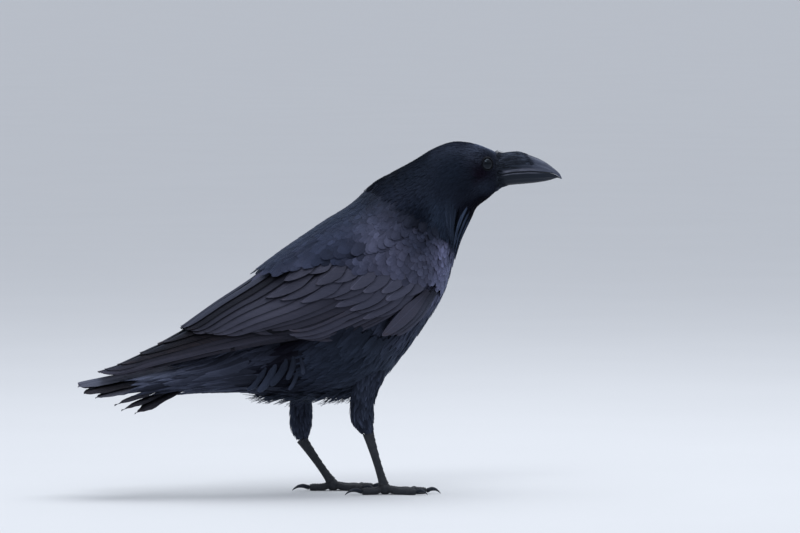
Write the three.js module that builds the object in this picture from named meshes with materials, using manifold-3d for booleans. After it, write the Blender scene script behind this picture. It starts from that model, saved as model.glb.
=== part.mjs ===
// A common raven (Corvus corax), life size, standing: a still model of the kind a museum shows.
// Millimetres, +Z up. The bird faces +X and its left side is +Y. The floor is z = 0.
//
// One envelope carries the whole bird: a ladder of sections from the face to the wing tips, each set by
// a point on the back, a point on the belly and a half width. Head, neck and trunk are lengths of it,
// and the feathers of the folded wings are fans laid on it in layers, one under the other.
import * as THREE from "three";
import { mergeVertices } from "three/addons/utils/BufferGeometryUtils.js";
import Module from "manifold-3d";

const wasm = await Module();
wasm.setup();

const { degToRad, lerp, smoothstep } = THREE.MathUtils;

// ---------------------------------------------------------------- driving dimensions

const GAP = 0.35; // clearance between neighbouring pieces
const SEAM = 0.028; // places left out between two lengths of the body
const FULLNESS = 2.2; // exponent of the body's rounded sections: 2 is an ellipse

// Sections of the envelope: x and z of the back, x and z of the belly, half width.
const ENVELOPE = [
  [168, 389, 168, 350, 13], // 0 face, at the root of the bill
  [154, 396, 153, 340, 21], // 1 eyes
  [135, 402, 140, 330, 26], // 2 crown and chin
  [114, 403, 134, 317, 30], // 3 hind crown
  [92, 395, 131, 304, 33.5], // 4 nape and throat
  [69, 381, 127, 290, 38], // 5 neck
  [47, 369, 120, 272, 46], // 6 neck's foot
  [24, 356, 112, 253, 56], // 7 wrist of the wing
  [-4, 332, 103, 231, 65], // 8 shoulders
  [-32, 315, 89, 206, 71], // 9 mantle and breast
  [-61, 296, 70, 179, 74], // 10
  [-91, 276, 49, 152, 74], // 11
  [-121, 254, 23, 125, 70], // 12 back and belly
  [-154, 232, -20, 111, 63], // 13 tertials
  [-186, 206, -80, 109, 53], // 14 vent
  [-217, 184, -131, 113, 42], // 15 wings over the tail
  [-248, 168, -179, 112, 33], // 16
  [-277, 154, -229, 110, 25], // 17
  [-303, 146, -274, 108, 18], // 18 wing tips
];

// The trunk's own last sections, under the folded wings and down to the root of the tail.
const RUMP = [
  [-143, 219, -20, 112, 50], // 13
  [-170, 190, -86, 111, 39], // 14
  [-194, 166, -132, 119, 29], // 15
];
const BODY = [...ENVELOPE.slice(0, 13), ...RUMP];

// Places of the rings of each length of the flesh.
const HEAD_RINGS = [0, 0.4, 0.9, 1.4, 2, 2.6, 3.3, 4];
const NECK_RINGS = [4 + SEAM, 4.6, 5.2, 5.8, 6.3 - SEAM];

const HEAD_TURN = degToRad(-8); // the head looks a little to the right
const TURN_PIVOT = 95; // x of the upright axis that the head turns about

const EYE = { x: 153.5, z: 378.8, radius: 7.4, sunk: 3.6 };
const BILL_ROOT = 168.4;

// The recess of the trunk under each folded wing: place, degrees from the back at its two edges.
const RECESS = [
  [6.5, 62, 134],
  [6.62, 95, 129],
  [6.8, 88, 137],
  [6.98, 82, 145],
  [7.05, 46, 147],
  [7.4, 36, 150],
  [7.8, 28, 151],
  [8.2, 23, 148],
  [8.7, 21, 142],
  [9.2, 19, 140],
  [9.75, 17, 138],
  [10.4, 14, 136],
  [10.9, 11, 128],
  [11.1, 10, 113],
  [11.6, 8, 105],
  [12.3, 6, 98.5],
  [13, 6, 91.5],
];
const TRUNK_RINGS = [6.3, ...RECESS.map(([u]) => u), 13.6, 14.1, 14.6];
const RECESS_DEPTH = 10.8;
const EDGE_SINK = 3; // the flank draws in by this much along the wing's lower edge

// Layers of the folded wing, measured inwards from the envelope: a feather's ridge, its edge, its
// underside, and the underside at the root, where the layer is as thick as the recess.
const LAYER = {
  covering: { top: 0, edge: 0.5, under: 2.3, root: 9.5 },
  greater: { top: 3.6, edge: 4.1, under: 4.8, root: 9.5 },
  flight: { top: 5.4, edge: 6.0, under: 6.9, root: 9.5 },
  primary: { top: 7.9, edge: 8.5, under: 9.6, root: 9.6 },
};
const WING_RISE = 4.6; // the flight feathers come to the surface behind the coverts by this much

// ---------------------------------------------------------------- solids from rings and sheets

/** A closed geometry from points and triangles, turned so that its faces point out. */
function closed(points, triangles) {
  const position = new Float32Array(points.flatMap((p) => [p.x, p.y, p.z]));
  let volume = 0;
  for (const [a, b, c] of triangles) {
    volume += points[a].dot(new THREE.Vector3().crossVectors(points[b], points[c]));
  }
  const index = triangles.flatMap(([a, b, c]) => (volume < 0 ? [a, c, b] : [a, b, c]));
  return new THREE.BufferGeometry()
    .setAttribute("position", new THREE.BufferAttribute(position, 3))
    .setIndex(index);
}

/** A skin through rings of equal length, closed by a flat fan at each end. */
function loft(rings) {
  const n = rings[0].length;
  const points = rings.flat();
  const triangles = [];
  for (let i = 0; i + 1 < rings.length; i += 1) {
    for (let j = 0; j < n; j += 1) {
      const a = i * n + j;
      const b = i * n + ((j + 1) % n);
      triangles.push([a, b, b + n], [a, b + n, a + n]);
    }
  }
  const cap = (ring, first, turned) => {
    const middle = ring.reduce((sum, p) => sum.add(p), new THREE.Vector3()).divideScalar(n);
    const centre = points.push(middle) - 1;
    for (let j = 0; j < n; j += 1) {
      const [a, b] = [first + j, first + ((j + 1) % n)];
      triangles.push(turned ? [centre, a, b] : [centre, b, a]);
    }
  };
  cap(rings[0], 0, false);
  cap(rings[rings.length - 1], (rings.length - 1) * n, true);
  return closed(points, triangles);
}

/** A plate between two sheets of points, given row by row, closed round its edge. */
function plate(upper, lower) {
  const rows = upper.length;
  const columns = upper[0].length;
  const points = [...upper.flat(), ...lower.flat()];
  const under = rows * columns;
  const triangles = [];
  for (let i = 0; i + 1 < rows; i += 1) {
    for (let j = 0; j + 1 < columns; j += 1) {
      const a = i * columns + j;
      const d = a + columns;
      triangles.push([a, a + 1, d + 1], [a, d + 1, d]);
      triangles.push([under + a, under + d + 1, under + a + 1], [under + a, under + d, under + d + 1]);
    }
  }
  const rim = [
    ...Array.from({ length: columns - 1 }, (_, j) => j),
    ...Array.from({ length: rows - 1 }, (_, i) => i * columns + columns - 1),
    ...Array.from({ length: columns - 1 }, (_, j) => under - 1 - j),
    ...Array.from({ length: rows - 1 }, (_, i) => (rows - 1 - i) * columns),
  ];
  rim.forEach((a, k) => {
    const b = rim[(k + 1) % rim.length];
    triangles.push([b, a, under + a], [b, under + a, under + b]);
  });
  return closed(points, triangles);
}

function toSolid(geometry) {
  const merged = mergeVertices(geometry, 1e-4);
  return new wasm.Manifold(
    new wasm.Mesh({
      numProp: 3,
      vertProperties: new Float32Array(merged.attributes.position.array),
      triVerts: new Uint32Array(merged.index.array),
    }),
  );
}

function toGeometry(solid) {
  const { vertProperties, triVerts } = solid.getMesh();
  return new THREE.BufferGeometry()
    .setAttribute("position", new THREE.BufferAttribute(new Float32Array(vertProperties), 3))
    .setIndex(new THREE.BufferAttribute(new Uint32Array(triVerts), 1));
}

const cut = (geometry, ...tools) =>
  toGeometry(tools.reduce((solid, tool) => solid.subtract(toSolid(tool)), toSolid(geometry)));

const join = (...geometries) =>
  toGeometry(geometries.map(toSolid).reduce((solid, other) => solid.add(other)));

/** The row of a list at a place counted in rows, in smooth curves through the rows. */
function station(rows, place) {
  const at = Math.min(Math.max(place, 0), rows.length - 1);
  const i = Math.min(Math.floor(at), rows.length - 2);
  const t = at - i;
  const [p1, p2] = [rows[i], rows[i + 1]];
  const p0 = rows[i - 1] ?? p1.map((value, k) => 2 * value - p2[k]);
  const p3 = rows[i + 2] ?? p2.map((value, k) => 2 * value - p1[k]);
  return p1.map((value, k) => {
    const slope = (p2[k] - p0[k]) / 2;
    const nextSlope = (p3[k] - value) / 2;
    const rise = p2[k] - value;
    return value + t * (slope + t * (3 * rise - 2 * slope - nextSlope + t * (slope + nextSlope - 2 * rise)));
  });
}

/** The row of a table at a place, its first column, in straight lines between the rows. */
function table(rows, place) {
  const next = rows.findIndex(([p]) => p >= place);
  if (next === 0) return rows[0];
  if (next < 0) return rows[rows.length - 1];
  const [before, after] = [rows[next - 1], rows[next]];
  return before.map((value, k) => lerp(value, after[k], (place - before[0]) / (after[0] - before[0])));
}

/** A round body of the given radius about the origin, its geometry bare of all but points. */
function ball(radius, around, rows) {
  const geometry = new THREE.SphereGeometry(radius, around, rows);
  geometry.deleteAttribute("normal");
  geometry.deleteAttribute("uv");
  return geometry;
}

// ---------------------------------------------------------------- the envelope

/** Turns a point of the neck or head about the upright axis, share 1 for the whole turn. */
function turned(point, share = 1) {
  const pivot = new THREE.Vector3(TURN_PIVOT, 0, 0);
  return point.sub(pivot).applyAxisAngle(new THREE.Vector3(0, 0, 1), HEAD_TURN * share).add(pivot);
}

/** The point of a ladder at place u and v degrees from the back: 90 is the left side, 180 the belly. */
function section(ladder, u, v) {
  const [backX, backZ, bellyX, bellyZ, halfWidth] = station(ladder, u);
  const rounded = (value) => Math.sign(value) * Math.abs(value) ** (2 / FULLNESS);
  const [c, s] = [rounded(Math.cos(degToRad(v))), rounded(Math.sin(degToRad(v)))];
  const point = new THREE.Vector3(
    (backX + bellyX) / 2 + ((backX - bellyX) / 2) * c,
    halfWidth * s,
    (backZ + bellyZ) / 2 + ((backZ - bellyZ) / 2) * c,
  );
  return turned(point, 1 - smoothstep(u, 3, 8));
}

/** The point that lies a depth inside a ladder's surface, square to it. */
function beneath(ladder, u, v, depth) {
  const point = section(ladder, u, v);
  if (depth === 0) return point;
  const alongBody = section(ladder, u + 0.05, v).sub(section(ladder, u - 0.05, v));
  const round = section(ladder, u, v + 1).sub(section(ladder, u, v - 1));
  return point.addScaledVector(alongBody.cross(round).normalize(), depth);
}

/** Angles and depths of half a ring, from the back to the belly, gathered at the recess's two edges. */
function halfRing(u, grow) {
  const [, from, to] = table(RECESS, u);
  const gathered = smoothstep(u, 6.3, 6.5) * (1 - smoothstep(u, 13, 13.6));
  const depth = RECESS_DEPTH * smoothstep(u, 6.5, 6.62) * (1 - smoothstep(u, 12.3, 13));
  const stretches = [
    [0, from - 1, 3, () => depth * smoothstep(u, 11.6, 12.3)],
    [from + 1, to - 1, 4, () => depth],
    [to + 1, 180, 4, (t) => EDGE_SINK * gathered * Math.max(0, 1 - 2.5 * t)],
  ];
  const half = stretches.flatMap(([first, last, count, depthAt]) =>
    Array.from({ length: count + 1 }, (_, k) => [lerp(first, last, k / count), depthAt(k / count) - grow]),
  );
  return half.map(([v, inside], k) => [lerp((180 * k) / (half.length - 1), v, gathered), inside]);
}

/** A closed length of the flesh through rings at the given places, with the recesses for the wings. */
function bodyLength(places, grow = 0) {
  const rings = places.map((u) => {
    const half = halfRing(u, grow);
    const otherHalf = half.slice(1, -1).reverse();
    return [
      ...half.map(([v, depth]) => beneath(BODY, u, v, depth)),
      ...otherHalf.map(([v, depth]) => beneath(BODY, u, -v, depth)),
    ];
  });
  return loft(rings);
}

// ---------------------------------------------------------------- wings

// The fold between the scapulars and the shoulder coverts: place, degrees from the back.
const FOLD = [
  [6.66, 97], [6.8, 90.5], [7.05, 81], [8, 74.5], [8.7, 70], [9.2, 64], [10.2, 55], [11.3, 45], [12.4, 7],
];
const SCAPULAR_TOP = RECESS.map(([u, from]) => [u, from + 1.6]);
// Places of the coverts' roots beneath the shoulder, by degrees from the back.
const COVERT_ROOTS = [[22, 11.5], [46, 10.65], [76, 10.1], [98, 9.6], [118, 9.3]];
// Places from which the flight feathers rise to the surface, by degrees from the back.
const COVERT_TIPS = [[20, 12.6], [33, 12.5], [66, 11.5], [92, 11.1], [112, 11]];

/** Degrees added to an edge of the wing's upper feathers. */
const shifted = (edge, by) => edge.map(([u, v]) => [u, v + by]);

/** A plate of short covering feathers between two edges, thick over the wing's arm. */
function coverPlate({ places, upper, lower, columns }, side) {
  const { under, root } = LAYER.covering;
  const thickness = (u, v) => {
    const [, rootPlace] = table(COVERT_ROOTS, v);
    return lerp(root, under, smoothstep(u, rootPlace - 1.2, rootPlace - 0.5));
  };
  const sheet = (depthAt) =>
    places.map((u) =>
      Array.from({ length: columns + 1 }, (_, j) => {
        const v = lerp(table(upper, u)[1], table(lower, u)[1], j / columns);
        return beneath(ENVELOPE, u, v * side, depthAt(u, v));
      }),
    );
  return plate(sheet(() => 0), sheet(thickness));
}

/** Long feathers as one fan: each is a ridge with a tip of its own. */
function featherFan({ feathers, root, tip, notch, rows, layer }, side) {
  const columns = 2 * feathers;
  const sheet = (depthAt) =>
    Array.from({ length: rows + 1 }, (_, i) =>
      Array.from({ length: columns + 1 }, (_, j) => {
        const ridge = j % 2 === 1;
        const [u0, v0] = station(root, (j / columns) * (root.length - 1));
        const [u1, v1] = station(tip, (j / columns) * (tip.length - 1));
        const reach = (i / rows) * (ridge ? 1 : 1 - notch / (u1 - u0));
        const [u, v] = [lerp(u0, u1, reach), lerp(v0, v1, reach)];
        const rise = WING_RISE * smoothstep(u, table(COVERT_TIPS, v)[1], table(COVERT_TIPS, v)[1] + 1.6);
        const depth = depthAt(i, ridge);
        return beneath(ENVELOPE, u, v * side, depth - Math.min(rise, layer.top));
      }),
    );
  const over = sheet((i, ridge) => (ridge ? layer.top : layer.edge));
  return plate(over, sheet((i) => (i === 0 ? layer.root : layer.under)));
}

const WING = {
  scapulars: {
    places: [7.08, 7.4, 7.8, 8.2, 8.7, 9.2, 9.75, 10.4, 11, 11.6, 12.2],
    upper: SCAPULAR_TOP,
    lower: shifted(FOLD, -0.4),
    columns: 4,
  },
  shoulder_coverts: {
    places: [6.68, 6.8, 7.05, 7.4, 7.8, 8.2, 8.35, 8.7, 9.2, 9.75, 10.4, 11, 11.3],
    upper: shifted(FOLD, 0.4),
    lower: [
      [6.68, 127.5], [6.8, 134.5], [7.05, 145], [7.4, 148.3], [7.8, 149.3], [8.2, 144], [8.35, 129],
      [8.7, 120], [9.2, 117], [9.75, 107], [10.4, 89], [11, 68], [11.3, 53],
    ],
    columns: 4,
  },
  greater_coverts: {
    feathers: 8,
    root: [[9.3, 116.5], [9.6, 98], [10.1, 76], [10.65, 46]],
    tip: [[10.9, 112.5], [11, 92], [11.4, 66], [12.4, 33]],
    notch: 0.35,
    rows: 3,
    layer: LAYER.greater,
  },
  secondaries: {
    feathers: 10,
    root: [[10, 112], [10.4, 90], [11, 60], [11.9, 11]],
    tip: [[12.6, 88], [13.3, 72], [14.2, 44], [14.8, 3]],
    notch: 0.4,
    rows: 4,
    layer: LAYER.flight,
  },
  primaries: {
    feathers: 8,
    root: [[11.2, 107.5], [11.35, 102], [11.7, 92.5], [12.2, 78]],
    tip: [[16.5, 56], [17.6, 44], [17.95, 24], [17.3, 12], [16, 8], [15, 6]],
    notch: 0.45,
    rows: 5,
    layer: LAYER.primary,
  },
  alula: {
    feathers: 3,
    root: [[8.42, 140], [8.5, 130], [8.9, 121]],
    tip: [[10.5, 133], [10.85, 124], [10.95, 117]],
    notch: 0.3,
    rows: 4,
    layer: { ...LAYER.covering, under: 4.5 },
  },
};

// ---------------------------------------------------------------- tail

const TAIL = {
  feathers: 12,
  top: 149, // height of the fan's middle at its root
  start: -150, // x from which the fall and the wedge are measured
  tip: -327, // x of the middle pair's tips
  wedge: 62, // the outer pair ends this much further forward
  fall: 0.127, // drop of the middle pair for each millimetre back
  halfWidth: 47,
  roof: 22.5, // the outer feathers hang lower by this much
  roll: 10.5, // and the right edge lower again, the left higher
  thickness: 3,
  notch: 15,
  rows: 6,
};

/** The tail as one fan: it leaves the rump's rounded end and flattens into twelve stepped feathers. */
function tailFan() {
  const columns = 2 * TAIL.feathers;
  const rootPlace = TRUNK_RINGS[TRUNK_RINGS.length - 1] + SEAM;
  const sheet = (face) =>
    Array.from({ length: TAIL.rows + 1 }, (_, i) =>
      Array.from({ length: columns + 1 }, (_, j) => {
        const s = i / TAIL.rows;
        const ridge = j % 2 === 1;
        const across = (2 * j) / columns - 1;
        const root = section(BODY, rootPlace, face > 0 ? across * 138 : 180 - across * 39);
        const end = TAIL.tip + TAIL.wedge * Math.abs(across) ** 1.2 + (ridge ? 0 : TAIL.notch);
        const x = lerp(root.x, end, s);
        const back = (x - TAIL.start) / (TAIL.tip - TAIL.start);
        const hang = TAIL.roof * Math.abs(across) ** 1.5 - TAIL.roll * across * smoothstep(back, 0.1, 0.6);
        const z =
          TAIL.top + TAIL.fall * (x - TAIL.start) - hang + (face * TAIL.thickness) / 2 + (ridge ? 0.8 : 0);
        const flat = smoothstep(s, 0, 0.42);
        const y = across * lerp(36, TAIL.halfWidth, Math.max(0, back));
        return new THREE.Vector3(x, lerp(root.y, y, flat), lerp(root.z, z, flat));
      }),
    );
  return plate(sheet(1), sheet(-1));
}

// ---------------------------------------------------------------- head

// The bill seen from the side, from root to tip: x, z of each line, and the half width.
const CULMEN = [[168.4, 389], [190, 391], [208, 386], [221, 380], [232, 372], [238, 366.5], [241, 360.5]];
const GAPE = [[168.4, 366], [180, 369.5], [199, 370.5], [218, 370], [229, 367.5], [236, 364], [240, 360]];
const GONYS = [[168.4, 350.5], [180, 353], [197, 354.5], [212, 356], [224, 358], [232, 360.3], [236, 362]];
const BILL_WIDTH = [[12.4], [10.5], [9], [7.2], [5], [3], [0.9]];

/** One half of the bill: its sections run from the outer ridge to a flat edge at the gape. */
function mandible(ridge, edge, sharpness, sides = 12, count = 9) {
  const rings = Array.from({ length: count + 1 }, (_, i) => {
    const t = (i / count) * (ridge.length - 1);
    const [ridgeX, ridgeZ] = station(ridge, t);
    const [edgeX, edgeZ] = station(edge, t);
    const [halfWidth] = station(BILL_WIDTH, t);
    return Array.from({ length: sides }, (_, j) => {
      const angle = (Math.PI * j) / (sides - 1);
      const height = Math.max(0, Math.sin(angle)) ** sharpness;
      const [x, z] = [lerp(edgeX, ridgeX, height), lerp(edgeZ, ridgeZ, height)];
      return turned(new THREE.Vector3(x, halfWidth * Math.cos(angle), z));
    });
  });
  return loft(rings);
}

/** The stiff feathers that lie forward over the nostrils: a saddle on the bill's root, ending in points. */
function nasalTuft() {
  const columns = 10;
  const rows = 3;
  const sheet = (over) =>
    Array.from({ length: rows + 1 }, (_, i) =>
      Array.from({ length: columns + 1 }, (_, j) => {
        const angle = lerp(degToRad(24), degToRad(156), j / columns);
        const length = (j % 2 === 1 ? 34 : 24) - 6 * Math.sin(angle);
        const s = i / rows;
        const x = BILL_ROOT + 0.4 + length * s;
        const t = (x - BILL_ROOT) / 20.5;
        const height = Math.sin(angle) ** 0.8;
        const clear = GAP + (over ? lerp(2.8, 0.8, s) : 0);
        const z = lerp(station(GAPE, t)[1], station(CULMEN, t)[1], height) + clear * Math.sin(angle);
        return turned(new THREE.Vector3(x, (station(BILL_WIDTH, t)[0] + clear) * Math.cos(angle), z));
      }),
    );
  return plate(sheet(true), sheet(false));
}

/** An eyeball, or its socket when it is grown. */
function eyeball(side, grow = 0) {
  const [, , , , halfWidth] = station(ENVELOPE, 0.95);
  const centre = turned(new THREE.Vector3(EYE.x, side * (halfWidth - EYE.sunk), EYE.z));
  return ball(EYE.radius + grow, 14, 9).rotateX(Math.PI / 2).translate(...centre);
}

// ---------------------------------------------------------------- legs

const LEG_SPACING = 32; // y of each leg

// Each leg seen from the side. Shank: x, z, half depth, half width, from inside the body to the heel.
const LEGS = [
  {
    name: "right",
    side: -1,
    shank: [[16, 165, 15, 11], [10, 142, 20, 15], [5, 122, 15.5, 13.5], [2, 104, 14, 12.5],
      [2, 90, 14, 12], [5, 79.5, 10.8, 10], [8.5, 73, 7, 6.5]],
    heel: [9, 71.5],
    foot: [28, 8.5],
  },
  {
    name: "left",
    side: 1,
    shank: [[-40, 165, 15, 11], [-47, 142, 19, 15], [-55, 122, 14.5, 13.5], [-57, 104, 12.8, 12],
      [-57, 88, 13.2, 12], [-57, 73, 12, 11], [-56, 63, 8, 7.5]],
    heel: [-56, 61],
    foot: [-20, 8.5],
  },
];
const TARSUS = [[0, 6.4, 6], [0.14, 5.6, 4.8], [0.5, 4.4, 3.9], [0.82, 4.6, 4.3], [0.95, 5.8, 5.4]];

// Toes: degrees from straight ahead towards the outer side, length, half thickness, length of the claw.
const TOES = [
  { name: "inner", yaw: -24, length: 36, radius: 4.1, claw: 15 },
  { name: "middle", yaw: 3, length: 49, radius: 4.3, claw: 16 },
  { name: "outer", yaw: 27, length: 38, radius: 4.0, claw: 13 },
  { name: "hind", yaw: 176, length: 27, radius: 4.4, claw: 20 },
];
const TOE_PADS = [[0, 0.9, 1], [0.24, 0.4, 0.96], [0.42, 0, 1.08], [0.6, 0, 0.98], [0.82, 0, 1.02], [1, 0.06, 0.76]];
const CLAW = [[0, 0.1, 0.62], [0.05, 0.1, 0.62], [0.35, 0.45, 0.55], [0.66, 0.3, 0.4], [0.9, -0.3, 0.22], [1, -0.78, 0.1]];
const PRESSED = 0.84; // a toe's middle lies this part of its half thickness above the floor

/** A round limb through [x, y, z, half depth, half width] stations; nothing reaches below the floor. */
function limb(stations, rows, sides, grow = 0) {
  const at = (t) => station(stations, t * (stations.length - 1));
  const place = (t) => new THREE.Vector3(...at(t).slice(0, 3));
  const rings = Array.from({ length: rows + 1 }, (_, i) => {
    const t = i / rows;
    const [, , , depth, width] = at(t);
    const direction = place(Math.min(1, t + 0.02)).sub(place(Math.max(0, t - 0.02))).normalize();
    const level = Math.abs(direction.z) < 0.8;
    const across = level ? new THREE.Vector3(-direction.y, direction.x, 0) : new THREE.Vector3(0, 1, 0);
    across.addScaledVector(direction, -across.dot(direction)).normalize();
    const upward = new THREE.Vector3().crossVectors(across, direction);
    return Array.from({ length: sides }, (_, j) => {
      const angle = (2 * Math.PI * (j + 0.5)) / sides - Math.PI / 2;
      const point = place(t)
        .addScaledVector(across, (width + grow) * Math.cos(angle))
        .addScaledVector(upward, (depth + grow) * Math.sin(angle));
      return point.setZ(Math.max(point.z, 0));
    });
  });
  return loft(rings);
}

/** The bare, scaled leg below the heel joint, down to the foot. */
function tarsus({ side, heel, foot }, grow = 0) {
  const stations = TARSUS.map(([t, depth, width]) => {
    return [lerp(heel[0], foot[0], t), side * LEG_SPACING, lerp(heel[1] - 1, foot[1], t), depth, width];
  });
  return limb(stations, 6, 8, grow);
}

/** The feathered shank, from where it leaves the body to just above the heel joint. */
function shank({ side, shank: stations, heel, foot }) {
  const whole = limb(stations.map(([x, z, depth, width]) => [x, side * LEG_SPACING, z, depth, width]), 9, 12);
  return cut(whole, bodyLength(TRUNK_RINGS, GAP), tarsus({ side, heel, foot }, GAP));
}

/** Stations of a toe or claw: along, height above the pressed middle, thickness, from the foot's middle. */
function digit({ side, foot }, { yaw, radius }, from, length, profile) {
  const angle = degToRad(yaw) * side;
  return profile.map(([t, lift, thick]) => {
    const out = from + t * length;
    const x = foot[0] + out * Math.cos(angle);
    const y = side * LEG_SPACING + out * Math.sin(angle);
    return [x, y, radius * (PRESSED + lift), radius * thick, radius * thick];
  });
}

/** The foot: a pad under the leg with its four toes. */
function footSolid(leg) {
  const pad = ball(7.2, 8, 6).translate(leg.foot[0], leg.side * LEG_SPACING, 7.6);
  const toes = TOES.map((toe) => limb(digit(leg, toe, 0, toe.length, TOE_PADS), 5, 6));
  return cut(join(pad, ...toes), tarsus(leg, GAP));
}

const clawHorn = (leg, toe) => limb(digit(leg, toe, toe.length + GAP, toe.claw, CLAW), 5, 6);

// ---------------------------------------------------------------- assembly

const FINISH = {
  head: new THREE.MeshStandardMaterial({ color: 0x10151b, roughness: 0.55, metalness: 0 }),
  body: new THREE.MeshStandardMaterial({ color: 0x13171f, roughness: 0.6, metalness: 0 }),
  covert: new THREE.MeshStandardMaterial({ color: 0x1d1e2a, roughness: 0.5, metalness: 0 }),
  flight: new THREE.MeshStandardMaterial({ color: 0x1c1b22, roughness: 0.5, metalness: 0 }),
  bill: new THREE.MeshStandardMaterial({ color: 0x16181d, roughness: 0.35, metalness: 0 }),
  eye: new THREE.MeshStandardMaterial({ color: 0x0c0705, roughness: 0.05, metalness: 0 }),
  foot: new THREE.MeshStandardMaterial({ color: 0x101113, roughness: 0.5, metalness: 0 }),
};

const bird = new THREE.Group();
const add = (name, geometry, material) => {
  const mesh = new THREE.Mesh(geometry, material);
  mesh.name = name;
  bird.add(mesh);
};

add("head", cut(bodyLength(HEAD_RINGS), eyeball(-1, GAP), eyeball(1, GAP)), FINISH.head);
add("neck", bodyLength(NECK_RINGS), FINISH.body);
add("trunk", bodyLength(TRUNK_RINGS), FINISH.body);
add("tail", tailFan(), FINISH.flight);
add("bill_upper", mandible(CULMEN, GAPE, 0.8), FINISH.bill);
add("bill_lower", mandible(GONYS, GAPE.map(([x, z]) => [x, z - GAP]), 0.6), FINISH.bill);
add("nasal_tuft", nasalTuft(), FINISH.head);

for (const [name, side] of [["right", -1], ["left", 1]]) {
  add(`eye_${name}`, eyeball(side), FINISH.eye);
  for (const [part, sizes] of Object.entries(WING)) {
    const material = part === "secondaries" || part === "primaries" ? FINISH.flight : FINISH.covert;
    add(`wing_${name}_${part}`, (sizes.feathers ? featherFan : coverPlate)(sizes, side), material);
  }
}

for (const leg of LEGS) {
  add(`leg_${leg.name}_shank`, shank(leg), FINISH.body);
  add(`leg_${leg.name}_tarsus`, tarsus(leg), FINISH.foot);
  add(`foot_${leg.name}`, footSolid(leg), FINISH.foot);
  for (const toe of TOES) {
    add(`claw_${leg.name}_${toe.name}`, clawHorn(leg, toe), FINISH.foot);
  }
}

// The origin is on the floor, under the middle of the bird.
const reach = new THREE.Box3().setFromObject(bird);
bird.position.set(-(reach.min.x + reach.max.x) / 2, -(reach.min.y + reach.max.y) / 2, -reach.min.z);

const raven = new THREE.Group();
raven.add(bird);
export default raven;
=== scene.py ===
"""A common raven, life size, standing: its plumage, bill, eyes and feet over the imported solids.

The bird is measured in millimetres along its own axes: x ahead, y to its left, z up from the floor.
`placed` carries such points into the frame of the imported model, in metres.
"""

import logging
import math
from dataclasses import dataclass, field
from enum import Enum
from functools import partial
from typing import Any, Callable, Sequence

import bmesh
import bpy
import numpy as np
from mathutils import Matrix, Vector


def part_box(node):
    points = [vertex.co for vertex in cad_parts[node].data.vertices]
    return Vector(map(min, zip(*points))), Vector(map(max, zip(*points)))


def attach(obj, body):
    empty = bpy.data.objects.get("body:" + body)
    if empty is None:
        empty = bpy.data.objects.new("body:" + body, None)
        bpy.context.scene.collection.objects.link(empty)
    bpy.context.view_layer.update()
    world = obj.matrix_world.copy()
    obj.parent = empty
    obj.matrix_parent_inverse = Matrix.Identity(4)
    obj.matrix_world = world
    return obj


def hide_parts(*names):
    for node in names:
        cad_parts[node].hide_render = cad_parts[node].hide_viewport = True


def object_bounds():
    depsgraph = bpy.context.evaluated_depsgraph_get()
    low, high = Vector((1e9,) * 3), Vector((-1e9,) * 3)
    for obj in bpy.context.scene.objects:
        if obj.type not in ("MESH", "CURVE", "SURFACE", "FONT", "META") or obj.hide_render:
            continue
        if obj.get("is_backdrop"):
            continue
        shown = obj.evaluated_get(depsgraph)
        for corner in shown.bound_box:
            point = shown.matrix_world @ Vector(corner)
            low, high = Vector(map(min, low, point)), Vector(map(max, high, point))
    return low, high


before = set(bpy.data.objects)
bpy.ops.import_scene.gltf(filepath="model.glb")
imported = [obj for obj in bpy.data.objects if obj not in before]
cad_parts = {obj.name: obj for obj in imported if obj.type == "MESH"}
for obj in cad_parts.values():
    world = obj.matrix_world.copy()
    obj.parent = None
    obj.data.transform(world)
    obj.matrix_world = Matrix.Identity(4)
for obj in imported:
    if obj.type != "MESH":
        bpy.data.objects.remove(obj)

Array = np.ndarray
Form = Callable[[Array, Array], Array]
Marks = Callable[[Array], Array]
Colour = tuple[float, float, float]
Span = tuple[float, float]
Edges = Callable[[float], Span]
Rng = np.random.Generator
Mesh = bpy.types.Mesh
BMesh = bmesh.types.BMesh
Material = bpy.types.Material

log = logging.getLogger("raven")

# ---- lines of the bird

MM = 0.001
TINY = 1e-9
SEED = 1758
FULLNESS = 2.2  # exponent of the body's rounded sections: 2 is an ellipse
HEAD_TURN = math.radians(-8)
TURN_PIVOT = 95.0  # x of the upright axis that the head turns about
NECK_SPAN = (3, 8)  # places between which the turn dies away
BARED_SPAN = 40.0  # millimetres of a covered vane that its mark spans
EDGE_SPAN = 20.0  # millimetres about the bill's cutting edge that its mark spans

# Sections from the face to the wing tips: x and z of the back, x and z of the belly, half width.
ENVELOPE = (
    (168, 389, 168, 349, 13),
    (154, 396, 154, 337, 21),
    (135, 402, 142, 327.5, 26),
    (114, 403, 136, 315, 30),
    (92, 395, 129.5, 303, 33.5),
    (69, 381, 123, 289.5, 38),
    (47, 369, 117, 272, 46),
    (24, 356, 110.5, 253, 56),
    (-4, 332, 103, 231, 65),
    (-32, 315, 89, 206, 71),
    (-61, 296, 70, 179, 74),
    (-91, 276, 49, 152, 74),
    (-121, 254, 23, 125, 70),
    (-154, 232, -20, 111, 63),
    (-186, 206, -80, 109, 53),
    (-217, 184, -131, 113, 42),
    (-248, 168, -179, 112, 33),
    (-277, 154, -229, 110, 25),
    (-303, 146, -274, 108, 18),
)
RUMP = ((-143, 219, -20, 112, 50), (-170, 190, -86, 111, 39), (-194, 166, -132, 119, 29))
# The rump once more, as the tail's coverts lie on it: it widens into the fan of the tail.
RUMP_COVER = (
    (-121, 254, 23, 125, 70), (-143, 219, -20, 112, 52), (-166, 193, -80, 111, 43),
    (-192, 168, -124, 117, 37), (-222, 155, -176, 118, 38), (-252, 146, -222, 116, 42),
    (-285, 138, -268, 111, 46), (-310, 133, -305, 108, 48),
)

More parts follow.
